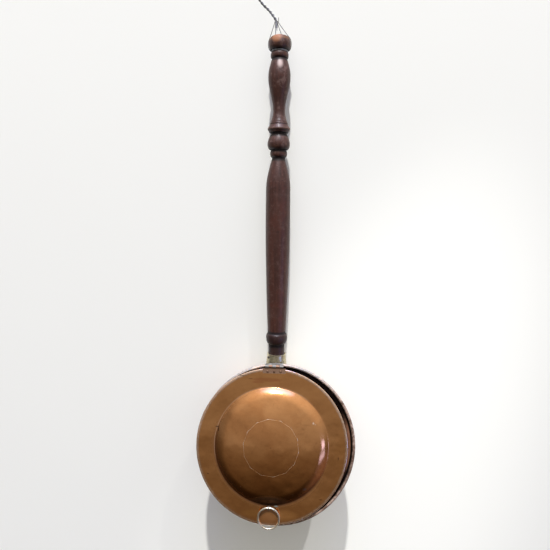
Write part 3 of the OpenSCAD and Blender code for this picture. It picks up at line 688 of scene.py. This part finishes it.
# %% The handle's profile
LINE, ARRIVE, LEAVE, OGEE, BULGE, DROP = range(6)
TURNED = [
    (-12, 15.4, LINE), (12, 16.6, LINE), (34, 16.3, LINE), (40, 16.6, LINE),
    (53, 21.7, BULGE), (61.5, 19.1, DROP), (63.3, 18.3, LINE), (300, 24.4, ARRIVE),
    (352, 24.2, LINE), (412, 12.6, LEAVE), (414, 12.6, LINE), (421.5, 16.6, BULGE),
    (427.5, 15.2, DROP), (428.5, 15.2, LINE), (440, 21.9, BULGE), (459, 15.3, LEAVE),
    (460.5, 15.1, LINE), (464.5, 19.6, BULGE), (468.2, 21.8, ARRIVE), (469.4, 21.6, DROP),
    (476, 18, LINE), (477, 17, DROP), (478.6, 17.4, OGEE), (480, 16.4, DROP),
    (486, 14.6, LEAVE), (502, 11.6, ARRIVE), (566, 21.5, OGEE), (599, 14.5, LEAVE),
    (605, 17.2, BULGE), (610.5, 15, DROP), (613.5, 15, LINE), (625.5, 21.1, BULGE),
    (639.6, 12.4, DROP), (641.4, 1.5, DROP)]
LEADS = {
    LINE: lambda t: t, ARRIVE: lambda t: sin(t * pi / 2), LEAVE: lambda t: 1 - cos(t * pi / 2),
    OGEE: lambda t: (1 - cos(t * pi)) / 2, BULGE: lambda t: sqrt(1 - (1 - t) ** 2),
    DROP: lambda t: 1 - sqrt(1 - t * t)}

def turned_line(step):
    line = [(0, TURNED[0][0]), TURNED[0][1::-1]]
    for (z0, r0, _), (z1, r1, lead) in zip(TURNED, TURNED[1:]):
        count = max(2, ceil((z1 - z0) / step))
        for k in range(1, count + 1):
            t = k / count
            line.append((r0 + (r1 - r0) * LEADS[lead](t), z0 + (z1 - z0) * t))
    return line + [(0, TURNED[-1][0])]

def handle_r(z):
    for (z0, r0, _), (z1, r1, lead) in zip(TURNED, TURNED[1:]):
        if z <= z1:
            return r0 + (r1 - r0) * LEADS[lead](max(0, (z - z0) / (z1 - z0)))
    return TURNED[-1][1]

# %% Wood
def wood_finish():
    f = Finish("wood", ON_HANDLE)
    bend = f.made("bend")
    streak = f.noise(1, 4, 0.6, f.stretched((5.5, 5.5, 150)), 1.0, 0.4)
    pore = f.noise(1, 3, 0.6, f.stretched((0.55, 0.55, 11)), 2.0)
    cloud = f.noise(36, 4, 0.6, seed=3.0)
    f.tone = f.colour(f.step(streak, 0.32, 0.7), (0.068, 0.024, 0.016), (0.036, 0.0125, 0.0085))
    f.lay(f.step(cloud, 0.45, 0.75) * 0.6, (0.062, 0.026, 0.019))
    f.lay(f.step(pore, 0.6, 0.72) * 0.7, (0.006, 0.003, 0.003))
    mottle = f.step(f.noise(13, 5, 0.7, seed=12.0, warp=0.6), 0.5, 0.66)
    mottle = mottle * (0.25 + 0.5 * f.step(f.z, 380, 440))
    f.lay(mottle * 0.8, (0.17, 0.1, 0.084))
    fleck = f.step(f.noise(4.2, 4, 0.7, seed=17.0), 0.56, 0.68) * (0.3 + 0.7 * mottle)
    f.lay(fleck * 0.7, (0.22, 0.13, 0.105))
    f.lay(f.step(f.noise(3.4, 4, 0.7, seed=19.0), 0.58, 0.66) * 0.7, (0.012, 0.005, 0.004))
    f.lay(f.step(f.noise(21, 4, 0.6, seed=15.0), 0.52, 0.68) * 0.45, (0.08, 0.02, 0.011))
    worn = f.step(bend + 1.5 * (f.noise(11, 4, 0.65, seed=6.0) - 0.5), 0.55, 1.15)
    amber = f.step(f.z, 598, 603)
    f.lay(worn * 0.7, f.colour(amber, (0.13, 0.068, 0.05), (0.2, 0.085, 0.03)))
    bare = f.step(f.noise(5, 5, 0.7, seed=8.0), 0.6, 0.68) * f.step(bend, 0.35, 0.8)
    f.lay(bare * 0.6, (0.3, 0.14, 0.06))
    patch = f.reach(f.x + 5.5, f.y + 19, f.z - 634)
    f.lay(f.step(patch + 9 * cloud, 17, 10) * 0.85, (0.36, 0.15, 0.065))
    # The varnish is smoother on the vase's shoulder, and a pale patch there is a painted highlight.
    shoulder = f.reach((f.x - 2.5) / 8, (f.y + 19) / 10, (f.z - 588) / 13)
    polish_and_highlight = f.step(shoulder + 0.5 * cloud, 1.3, 0.5)
    f.lay(polish_and_highlight * 0.8, (0.6, 0.46, 0.41))
    # Painted shade: faces that point down are darkened.
    down = 0 - f.part(f.node("ShaderNodeNewGeometry", out=1), 2)
    f.lay(f.step(down, 0.24, 0.7) * 0.75, (0.012, 0.006, 0.006))
    f.lay(f.step(f.z, 68, 61) * (0.75 - 0.4 * mottle), (0.014, 0.006, 0.006))
    # Dirt in what lies back, which also stands for the shade in the grooves.
    dirt = f.step(0 - bend + 0.25 * (f.noise(4, 3, seed=9.0) - 0.5), 0.14, 0.5)
    f.lay(dirt * 0.85, (0.008, 0.005, 0.005))
    nick = f.step(f.noise(1, 2, 0.5, f.stretched((1.6, 1.6, 5)), 11.0), 0.73, 0.78)
    f.lay(nick * 0.8, (0.16, 0.085, 0.05))
    ringed = f.noise(1, 2, 0.5, f.stretched((60, 60, 0.7)), 4.0)
    rough = (0.33 - 0.12 * polish_and_highlight + 0.2 * cloud + 0.25 * mottle + 0.15 * worn + 0.25 * dirt
             + 0.3 * nick + 0.12 * f.step(pore, 0.55, 0.7))
    pits = 0 - f.step(pore, 0.58, 0.72) - 2.2 * nick
    return f.finish(rough, (streak, 0.1), (pits, 0.06), (ringed, 0.03),
                    Specular_IOR_Level=0.36, Coat_Weight=0.05, Coat_Roughness=0.25)

# %% The handle
def handle_shift(p, a):
    soft = noise.noise(Vector((p.x, p.y, p.z / 5)) / 16) * 0.22
    out = Vector((p.x, p.y, 0))
    return p - (out.normalized() if out.length > 1 else Vector()) * max(0, soft)

NEAR, GAIN = (-9, -6, -3, 3, 6, 9), 0.42

def stands_out(spot, way):
    """How far a spot stands out from what is near it, from -1 to 1."""
    around = [handle_r(spot.z + d) for d in NEAR]
    return max(-1, min(1, GAIN * (handle_r(spot.z) - sum(around) / len(NEAR))))

mesh = spun(turned_line(step=1.1), ON_HANDLE, sides=120, shift=handle_shift)
keep(mesh, "bend", ON_HANDLE, stands_out)
piece("turned_handle", mesh, wood_finish(), "pan", "wood", "handle", sharp=50)

# %% [markdown]
# ## Brass and ring metal
# The socket, its plate and the hinge are cast and sheet brass that has dulled to olive, with brown
# dirt in the corners and paler metal where it is rubbed. The ring is handled every time the lid is
# lifted, so it stays pale gold. One recipe serves them, the ring's eye and the rivets as well,
# each with its own colours, from clean to dirty, and its own dullness.

# %% The brass finishes
def brass(name, place, bright, dull, dirt, worn, matt=0.0):
    f = Finish(name, place)
    cloud, fine = f.noise(13, 5, 0.65, seed=2.0, warp=0.8), f.noise(1.6, 4, 0.7, seed=5.0)
    f.tone = f.colour(f.step(cloud, 0.3, 0.68), bright, dull)
    f.lay(f.step(f.noise(5, 5, 0.7, seed=7.0), 0.5, 0.72) * (1 - worn), dirt)
    edge = f.step(f.node("ShaderNodeNewGeometry", out=7), 0.52, 0.6)
    f.lay(edge * 0.7, [min(1, c * 1.35) for c in bright])
    rubs = f.scratches(14, 0.14, 0.3, 0.5, 2.2) + f.scratches(17, 0.12, 0.3, -0.8, 6.1)
    f.lay(rubs * 0.25, [min(1, c * 1.4) for c in bright])
    speck = f.step(f.noise(1.1, 2, seed=9.0), 0.66, 0.72)
    f.lay(speck * 0.6 * (1 - worn), [c * 0.5 for c in dirt])
    rough = 0.24 + matt + 0.26 * cloud * (1 - worn) + 0.1 * rubs + 0.2 * speck * (1 - worn)
    return f.finish(rough, (f.noise(6, 3, seed=3.3), 0.16),
                    (0.5 * fine - 0.4 * rubs - 0.6 * speck, 0.035), Metallic=1.0)

BRASS = brass("brass", ON_HANDLE, (0.46, 0.4, 0.24), (0.26, 0.22, 0.12), (0.1, 0.07, 0.035), 0.0)
SOCKET_BRASS = brass("socket_brass", ON_HANDLE, (0.68, 0.62, 0.45), (0.42, 0.37, 0.22),
                     (0.13, 0.1, 0.055), 0.3, 0.03)
LEAF_BRASS = brass("hinge_brass", ON_PAN, (0.25, 0.235, 0.2), (0.15, 0.14, 0.12),
                   (0.07, 0.06, 0.05), 0.1, 0.3)
WORN_LEAF = brass("lid_leaf_brass", ON_LID, (0.25, 0.155, 0.1), (0.2, 0.105, 0.062),
                  (0.08, 0.046, 0.03), 0.0, 0.24)
RING_BRASS = brass("ring_brass", ON_LID, (0.92, 0.86, 0.7), (0.72, 0.64, 0.47),
                   (0.17, 0.12, 0.06), 0.6, 0.1)
# The ring's eye is a dark copy of the brass: painted shade, as it lies under the ring's top.
SHADED_EYE_BRASS = brass("eye_brass", ON_LID, (0.2, 0.16, 0.1), (0.1, 0.075, 0.045),
                  (0.03, 0.02, 0.015), 0.0)
RIVET_COPPER = brass("rivet_copper", ON_PAN, (0.4, 0.23, 0.14), (0.26, 0.14, 0.08),
                     (0.1, 0.06, 0.04), 0.1)
WORN_RIVET = brass("worn_rivet_copper", ON_LID, (0.26, 0.15, 0.095), (0.18, 0.1, 0.06),
                   (0.08, 0.046, 0.03), 0.0, 0.26)

# %% Solids of the frame that keep their shape get these finishes
DRESS = {
    "socket_plate": BRASS, "rivet_roves": RIVET_COPPER, "handle_pin": IRON, "hinge_pin": IRON,
    "rim_hinge_leaf": LEAF_BRASS, "lid_hinge_leaf": WORN_LEAF, "eye_rove": LEAF_BRASS,
    "rim_wire": IRON, "lid_edge_wire": IRON}
for node, finish in DRESS.items():
    thing = frame["nodes"][node]
    thing.data.materials.clear()
    thing.data.materials.append(finish)
print("dressed:", ", ".join(DRESS))

# %% [markdown]
# ## Rivets
# Ten rivets hold the fittings: four big ones through the wall, three through the ledge and three
# through the lid. A rivet is a shank with a head that was hammered down at one end and a smaller
# one at the other, so one rule makes them all: at every point it puts a rivet, turned to the
# point's own direction, and a fixed seed gives each head a slightly different height and lean.

# %% The rule of a row of rivets
RIVET = {"Head": 3.8 * MM, "Rise": 2.1 * MM, "Shank": 1.9 * MM, "Grip": 4.1 * MM, "Tail": 2.8 * MM,
         "Seed": 4}
b, given = rule("rivets", RIVET)
parts = []
for wide, tall, down in ((given["Head"], given["Rise"], given["Grip"] * 0),
                         (given["Tail"], given["Tail"] * 0.28, given["Grip"])):
    ball = b.node("GeometryNodeMeshUVSphere", {"Segments": 28, "Rings": 14, "Radius": 1.0})
    size = b.node("ShaderNodeCombineXYZ", {0: wide, 1: wide, 2: tall})
    low = b.node("ShaderNodeCombineXYZ", {2: down * -1})
    parts.append(b.node("GeometryNodeTransform", {
        "Geometry": ball, "Scale": size, "Translation": low}))
low = b.node("ShaderNodeCombineXYZ", {2: given["Grip"] * -0.5})
shank = b.node("GeometryNodeMeshCylinder", {
    "Vertices": 24, "Radius": given["Shank"], "Depth": given["Grip"]})
parts.append(b.node("GeometryNodeTransform", {"Geometry": shank, "Translation": low}))
rivet = b.join(*parts)
out = b.node("GeometryNodeInputNamedAttribute", {"Name": "out"}, data_type="FLOAT_VECTOR")
LEANS, HEIGHTS = ((-0.1,) * 3, (0.1,) * 3), ((0.93, 0.93, 0.8), (1.04, 1.04, 1.1))
uneven, height = [b.node("FunctionNodeRandomValue", {
    "Min": least, "Max": most, "Seed": given["Seed"]}, data_type="FLOAT_VECTOR")
    for least, most in (LEANS, HEIGHTS)]
lean = b.node("ShaderNodeVectorMath", {0: out, 1: uneven}, operation="ADD")
turn = b.node("FunctionNodeAlignRotationToVector", {"Vector": lean}, axis="Z")
row = b.node("GeometryNodeInstanceOnPoints", {
    "Points": given["Geometry"], "Instance": rivet, "Rotation": turn, "Scale": height})
RIVETS = close(b, row, given["Material"])

# %% Rivets in their places
def posts(place, spots):
    """Points with a direction each, from (position, direction) pairs in millimetres."""
    mesh = bpy.data.meshes.new("posts")
    mesh.from_pydata([place @ Vector(spot) for spot, _ in spots], [], [])
    out = mesh.attributes.new("out", "FLOAT_VECTOR", "POINT")
    for item, (_, way) in zip(out.data, spots):
        item.vector = (place.to_3x3() @ Vector(way)).normalized()
    return put("posts", mesh)

# WALL_R is the wall's radius at the height WALL_MID, and a head sits HEAD_OUT off the wall there
LEAN, WALL_R, WALL_MID, HEAD_OUT = radians(WALL_LEAN), 133.65, -41.575, 2.3
PLATE_ROWS, PLATE_HALF, PLATE_X = (-35.97, -17.75), 29.5, 5
LEDGE_R, LID_ROW, RIVET_STEP, HINGE_X = 146.95, 143.47, 13, -7
wall_posts = []
for z in PLATE_ROWS:
    for side in (-1, 1):
        r = WALL_R + (z - WALL_MID) * tan(LEAN)
        a = pi / 2 - asin((side * PLATE_HALF - PLATE_X) / r)
        way = polar(cos(LEAN), a, -sin(LEAN))
        wall_posts.append((polar(r, a, z) + HEAD_OUT * way, way))
ledge_posts = []
for i in (-1, 0, 1):
    a = pi / 2 - asin(HINGE_X / LEDGE_R) + i * RIVET_STEP / LEDGE_R
    ledge_posts.append((polar(LEDGE_R, a, 1.9), (0, 0, 1)))
lid_posts = [((HINGE_X - LID_SLIP[0] + RIVET_STEP * i, LID_ROW, 1.2), (0, 0, 1))
             for i in (-1, 0, 1)]
SMALL = {"Head": 2.6 * MM, "Rise": 1.15 * MM, "Shank": 1.3 * MM, "Grip": 2.4 * MM, "Tail": 1.9 * MM,
         "Seed": 9}
for name, place, spots, sizes, *given in (
        ("socket_rivets_hammered", ON_PAN, wall_posts, RIVET, BRASS, "pan", "brass",
         "socket_rivets"),
        ("ledge_rivets_hammered", ON_PAN, ledge_posts, SMALL, RIVET_COPPER, "pan", "rivet_copper",
         "rim_leaf_rivets"),
        ("lid_rivets_hammered", ON_LID, lid_posts, SMALL, WORN_RIVET, "lid", "rivet_copper",
         "lid_leaf_rivets")):
    mesh = use(posts(place, spots), RIVETS, sizes, given[0])
    piece(name, mesh, *given, sharp=45)

# %% [markdown]
# ## The socket
# A sheet brass tube, seamed down one side and a little flared, holds the handle's tenon and is
# brazed to the plate on the pan's wall. Its lower end follows the wall, so each column of its mesh
# runs down until it meets the wall's outer face, which is found by halving the distance.

# %% The socket's mesh
# The line where the socket ends lies this far off the middle of the wall's sheet
SKIN_OFF, SOCKET_LOW = 2.5, -34.0
skin = [p - SKIN_OFF * Vector((-sin(a), cos(a))) for p, a in pan_line if p.x > 90 and a < pi / 2]
TO_PAN = ON_PAN.inverted() @ ON_HANDLE

def inside_wall(spot):
    p = TO_PAN @ Vector(spot)
    far, z = hypot(p.x, p.y), p.z
    if z > skin[-1].y:
        return far < skin[-1].x + 0.2
    for low, high in zip(skin, skin[1:]):
        if low.y <= z <= high.y:
            t = (z - low.y) / max(1e-6, high.y - low.y)
            return far < low.x + (high.x - low.x) * t
    return False

def socket_mesh(sides=96, rows=40, thick=1.4):
    """Two skins of columns from the worn mouth down to the wall, joined at both ends."""
    top, mouth, flare = 20.0, 18.4, 3.2 / 26
    skins = []
    for off in (0, -thick):
        grid = []
        for k in range(sides):
            a = 2 * pi * k / sides
            way = polar(1, a)
            start = top - 0.9 + (0.35 * sin(2 * a + 0.6) + 0.25 * sin(5 * a))
            radius = lambda z: (mouth + off + (top - z) * flare
                                + 0.16 * noise.noise(Vector((way.x * 1.6, way.y * 1.6, z / 14))))
            spot = lambda z: way * radius(z) + Vector((0, 0, z))
            low, high = SOCKET_LOW, start
            if inside_wall(spot(SOCKET_LOW)):
                for _ in range(22):
                    middle = (low + high) / 2
                    low, high = (middle, high) if inside_wall(spot(middle)) else (low, middle)
            line = []
            for i in range(rows + 1):
                z = start + (high - start) * i / rows if high < start else start
                p = spot(z)
                if i < 3 and off == 0:
                    p += way * (0.5, 0.62, 0.3)[i]
                line.append(p)
            grid.append(line)
        skins.append(grid)
    points = [ON_HANDLE @ p for grid in skins for line in grid for p in line]
    step, side = rows + 1, sides * (rows + 1)
    faces = []
    for k in range(sides):
        n = (k + 1) % sides
        for i in range(rows):
            a, b = k * step + i, n * step + i
            faces += [(a, a + 1, b + 1, b), (side + a, side + b, side + b + 1, side + a + 1)]
        for i in (0, rows):
            a, b = k * step + i, n * step + i
            faces.append((a, b, side + b, side + a))
    return skin_of(points, faces)

piece("brass_socket", socket_mesh(), SOCKET_BRASS, "pan", "brass", "handle_socket", sharp=50)

# %% [markdown]
# ## The ring and its eye
# The ring is a wire bent round and brazed shut, drawn a little long by use. It hangs in an eye
# that is a thinner wire, folded double round it and passed through the flange, where its two
# legs are spread apart.

# %% The lift ring
EYE = Vector((-2, -114.02, 10))
RING_R, DRAWN, HANGS = 20.2, 1.5, radians(13.03)
HANG = (ON_LID @ Matrix.Translation(EYE) @ Matrix.Rotation(HANGS, 4, "X")
        @ Matrix.Translation((0, -RING_R - DRAWN, 0)))
ring = []
for a in np.linspace(0, 2 * pi, 129)[:-1] + pi / 2:
    lift = DRAWN if sin(a) > 0 else -DRAWN
    ring.append(HANG @ Vector((RING_R * cos(a), RING_R * sin(a) + lift, 0)))

def ring_girth(t):
    """The wire's radius: thicker at the braze, thinner where it has rubbed in the eye."""
    braze = exp(-((t - 0.93) / 0.018) ** 2) * 0.45
    worn = exp(-(min(t, 1 - t) / 0.02) ** 2) * 0.2
    return (1.8 + 0.06 * noise.noise(Vector((t * 30, 3, 5))) + braze - worn) * MM

mesh = bar(ring, ring_girth, 20, closed=True)
piece("lift_ring_wire", mesh, RING_BRASS, "ring", "ring_brass", "lift_ring", sharp=70)

# %% The eye, a wire folded double
EYE_LEAN, EYE_FOOT = radians(22), Vector((-2, -117.5, 0))
up = Vector((0, sin(EYE_LEAN), cos(EYE_LEAN)))
across = Vector((0, cos(EYE_LEAN), -sin(EYE_LEAN)))

def eye_leg(side):
    """From the spread end under the flange up to where the bow begins."""
    leg = 0.72 * side
    path = [Vector((0, leg + out * side, z)) for out, z in (
        (9, -2.1), (6, -2.0), (1.6, -1.9), (0.5, -1.5), (0, -0.6), (0, 0.9))]
    path += [Vector((0, 0, 1.4)) + up * (9.3 * t - 0.6) + across * leg * (1 + 0.3 * t)
             for t in (0.25, 0.5, 0.7)]
    return [EYE_FOOT + p for p in path]

bow = [EYE + 2.95 * (sin(a) * across - cos(a) * up)
       for a in np.radians(np.linspace(-155, 155, 25))]
eye = [ON_LID @ p for p in eye_leg(-1) + bow + eye_leg(1)[::-1]]
piece("ring_eye_wire", bar(eye, 0.72 * MM, 14), SHADED_EYE_BRASS, "lid", "brass", "ring_eye", sharp=60)

# %% [markdown]
# ## The wire round the knob
# Wire is wound twice round the groove under the knob. Four strands go up over the knob to meet in
# a short binding, from which the twisted wire leads on. Windings follow one rule: a spiral of a
# given radius, height and number of turns, a little uneven, with a round wire swept along it.

# %% The rule of a winding
WOUND = {"Radius": 2.0 * MM, "Height": 12.4 * MM, "Turns": 11.0, "Wire": 0.52 * MM,
         "Uneven": 0.12 * MM}
b, given = rule("winding", WOUND)
spiral = b.node("GeometryNodeCurveSpiral", {
    "Resolution": 28, "Rotations": given["Turns"], "Start Radius": given["Radius"],
    "End Radius": given["Radius"], "Height": given["Height"]})
spot = b.node("GeometryNodeInputPosition")
rough_way = b.node("ShaderNodeTexNoise", {"Vector": spot, "Scale": 420.0, "Detail": 1.0}, 1)
centred = b.node("ShaderNodeVectorMath", {0: rough_way, 1: (0.5, 0.5, 0.5)}, operation="SUBTRACT")
shift = b.node("ShaderNodeVectorMath", {0: centred, "Scale": given["Uneven"]}, operation="SCALE")
spiral = b.node("GeometryNodeSetPosition", {"Geometry": spiral, "Offset": shift})
circle = b.node("GeometryNodeCurvePrimitiveCircle", {"Resolution": 10, "Radius": given["Wire"]})
coil = b.node("GeometryNodeCurveToMesh", {
    "Curve": spiral, "Profile Curve": circle, "Fill Caps": True})
WINDING = close(b, b.join(coil, given["Geometry"]), given["Material"])

# %% Binding and neck turns
def winding(name, spot, sizes, node):
    mesh = use(put("seed", bpy.data.meshes.new("seed")), WINDING, sizes, WIRE)
    mesh.transform(Matrix.Translation((HEEL + Vector(spot)) * MM))
    piece(name, tidy(mesh), WIRE, "pan", "wire", node, sharp=60)

TOP, CROSS = 668.0, -7.0
winding("binding_wound", (CROSS, 0, TOP - 12.7), WOUND, "sling_binding")
NECK = {"Radius": 15.75 * MM, "Height": 1.9 * MM, "Turns": 2.4, "Wire": 0.58 * MM,
        "Uneven": 0.2 * MM}
winding("neck_wire_wound", (0, 0, 611.05), NECK, "neck_wire")

# %% Strands over the knob, and the cut ends
KNOB_FOOT, KNOB_TOP, SEAT_OUT = 612.6, 640.5, 0.85

def strand(turn):
    """From the groove up over the knob, on the wood as far as a taut wire lies, to the binding."""
    seat = []
    for z in np.arange(KNOB_FOOT, KNOB_TOP, 1.5):
        slope = (handle_r(z + 0.3) - handle_r(z - 0.3)) / 0.6
        size = SEAT_OUT / hypot(1, slope)
        seat.append((handle_r(z) + size, z - slope * size))
    end = (CROSS * cos(turn) + 2.6, TOP - 1.2)
    lean = [(r - end[0]) / (end[1] - z) for r, z in seat]
    last = max(range(4, len(seat)), key=lambda i: lean[i])
    line = [polar(r, turn, z) for r, z in seat[:last + 1]]
    goal = Vector((CROSS + 2.5 * cos(turn), 2.5 * sin(turn), end[1]))
    bowed = [line[-1].lerp(goal, t) + Vector((0, 0, -0.5)) * sin(pi * t)
             for t in np.linspace(0.12, 1, 9)]
    bowed += [Vector((CROSS + 1.2 * cos(turn), 1.2 * sin(turn), TOP + 0.2))]
    return [ON_HANDLE @ p for p in line + bowed]

STRAND_R = 0.55 * MM
strands = [bar(strand(radians(a)), STRAND_R, 8) for a in (0, 180, 66, 118)]
piece("sling_strands", joined(*strands), IRON, "pan", "iron", "sling_wires", sharp=60)

def tail(base, tip, sway):
    base, tip = Vector(base), Vector(tip)
    curve = [ON_HANDLE @ (base.lerp(tip, t) + Vector(sway) * sin(t * pi * 0.9))
             for t in np.linspace(0, 1, 12)]
    return bar(curve, STRAND_R, 8)

tails = joined(tail((-3.9, 0.2, 663), (-3.2, -0.1, 673.6), (0.6, 0, 0)),
               tail((-6.2, -3.1, 657.5), (-5.6, -3.4, 649.3), (0.1, -0.5, 0)))
piece("wire_tails_cut", tails, WIRE, "pan", "wire", "wire_tails", sharp=60)

# %% [markdown]
# ## Wall, floor and light
# The pan hangs against a pale wall. The wall and a strip of floor are one bent sheet, and it shows
# only its front, so that the back of the pan can be looked at too.

# %% The backdrop
WALL_Y, BEND, FLOOR_Z, FLOOR_Y, TOP_Z, WALL_X = 0.03, 0.25, -3.3, -0.24, 1.3, (-2.2, 2.3)
side = [(WALL_Y, TOP_Z)] + [
    (WALL_Y - BEND + BEND * cos(a), FLOOR_Z + BEND - BEND * sin(a))
    for a in np.linspace(0, pi / 2, 13)] + [(FLOOR_Y, FLOOR_Z)]
mesh = bpy.data.meshes.new("wall")
mesh.from_pydata([(x, y, z) for y, z in side for x in WALL_X], [],
                 [(2 * i, 2 * i + 2, 2 * i + 3, 2 * i + 1) for i in range(len(side) - 1)])
mesh.shade_smooth()
wall = put("wall", mesh)
f = Finish("wall paint", Matrix.Scale(1.0, 4))
f.tone = f.colour(f.noise(0.7, 2), (0.87, 0.866, 0.805), (0.9, 0.896, 0.83))
f.finish(0.9)
front, clear = Wire(f, f.shader.outputs[0]), f.node("ShaderNodeBsdfTransparent")
seen = f.node("ShaderNodeMixShader", {
    0: f.node("ShaderNodeNewGeometry", out=6), 1: front, 2: clear})
f.tree.links.new(seen.socket, f.tree.nodes["Material Output"].inputs["Surface"])
mesh.materials.append(f.material)
print("wall and floor:", len(mesh.polygons), "faces")

# %% [markdown]
# ## The room
# What the polished copper mirrors matters as much as the lamps. The room is bright overhead, dim
# in front and dark below, and a gradient in the world stands for it. It is dimmer to the left and
# browner at the lower right, and a bright patch of ceiling gives the shine at the top of the dome.
# The camera itself sees none of it: behind the pan it sees a plain pale ground.

# %% The room that the metal mirrors
room = bpy.data.worlds.new("room")
room.use_nodes = True
bpy.context.scene.world = room
w = Bench(room.node_tree)
way = w.node("ShaderNodeTexCoord")
height, aside = w.part(way, 2), w.part(way, 0)
TONES = [
    (0.0, (0.018, 0.012, 0.007)), (0.16, (0.022, 0.014, 0.008)), (0.25, (0.045, 0.031, 0.017)),
    (0.33, (0.11, 0.085, 0.055)), (0.415, (0.2, 0.17, 0.13)), (0.487, (0.275, 0.255, 0.225)),
    (0.503, (0.375, 0.365, 0.355))]
GREYS = [(0.585, 0.46), (0.67, 0.6), (0.75, 0.8), (0.83, 1.0), (1.0, 1.15)]
DIM, LOW_RIGHT = (0.05, 0.045, 0.04), (0.26, 0.2, 0.19)
CEILING, GROUND = (2.5, 3.0, 7.0), (0.8, 0.8, 0.79)
STOPS = TONES + [(at, (grey,) * 3) for at, grey in GREYS]
light = w.node("ShaderNodeValToRGB", {0: height * 0.5 + 0.5}, stops=STOPS)
light = w.colour(w.step(aside, -0.35, -0.95) * 0.5, light, DIM)
light = w.colour(w.step(aside, 0.35, 0.8) * w.step(height, -0.2, -0.35), light, LOW_RIGHT)
panel = w.step(aside, -0.32, -0.18) * w.step(aside, 0.42, 0.28) * w.step(height, 0.86, 0.94)
light = w.colour(panel, light, CEILING)
light = w.colour(w.node("ShaderNodeLightPath"), light, GROUND)
w.tree.links.new(light.socket, w.tree.nodes["Background"].inputs["Color"])

# %% [markdown]
# ## Lamps
# One small lamp high up in front throws the pan's shadow down the wall, and a narrow one from the
# right throws the second, paler shadow and lights the wall beside the pan. Two window panes at the
# right show only in the metal, as the long shine at the dome's right side. A wide, weak lamp fills
# the shadows. The thin wire has no shadow in the photograph, so it casts none.

# %% Lamps
def lamp(name, kind, place, target, power, hidden=(), **settings):
    """A lamp at a place, aimed at a target and unseen by the hidden kinds of ray."""
    light = bpy.data.lights.new(name, kind)
    light.energy = power
    for key, value in settings.items():
        setattr(light, key, value)
    thing = put(name, light)
    thing.matrix_world = look(place, Vector(target) - Vector(place))
    for ray in hidden:
        setattr(thing, "visible_" + ray, False)

def area(wide, tall):
    return {"shape": "RECTANGLE", "size": wide, "size_y": tall}

PAN_AT, PANE = (0.1, -0.05, -0.95), {"hidden": ("camera", "diffuse"), "color": (0.28, 0.375, 1.0)}
lamp("upper_pane", "AREA", (2.35, -1.75, -0.98), PAN_AT, 4.9, **PANE, **area(0.9, 0.34))
lamp("lower_pane", "AREA", (2.25, -1.85, -1.52), PAN_AT, 3.85, **PANE, **area(1.2, 0.32))
lamp("ceiling", "AREA", (0.1, -4.2, 8.7), (0.05, 0, -0.6), 1200, **area(0.25, 0.25))
lamp("row_lamp", "SPOT", (1.38, -1.57, 2.5), (0.21, 0.03, -1.1), 315, hidden=["glossy"],
     shadow_soft_size=0.04, spot_size=radians(13), spot_blend=1.0)
lamp("fill", "AREA", (0.3, -3.0, -0.3), (0.05, 0, -0.7), 7, hidden=("glossy", "camera"),
     **area(2.4, 2.4))
for thing in (hanging_wire, hanging_loop):
    thing.visible_shadow = False
bpy.context.scene.view_settings.view_transform = "Standard"
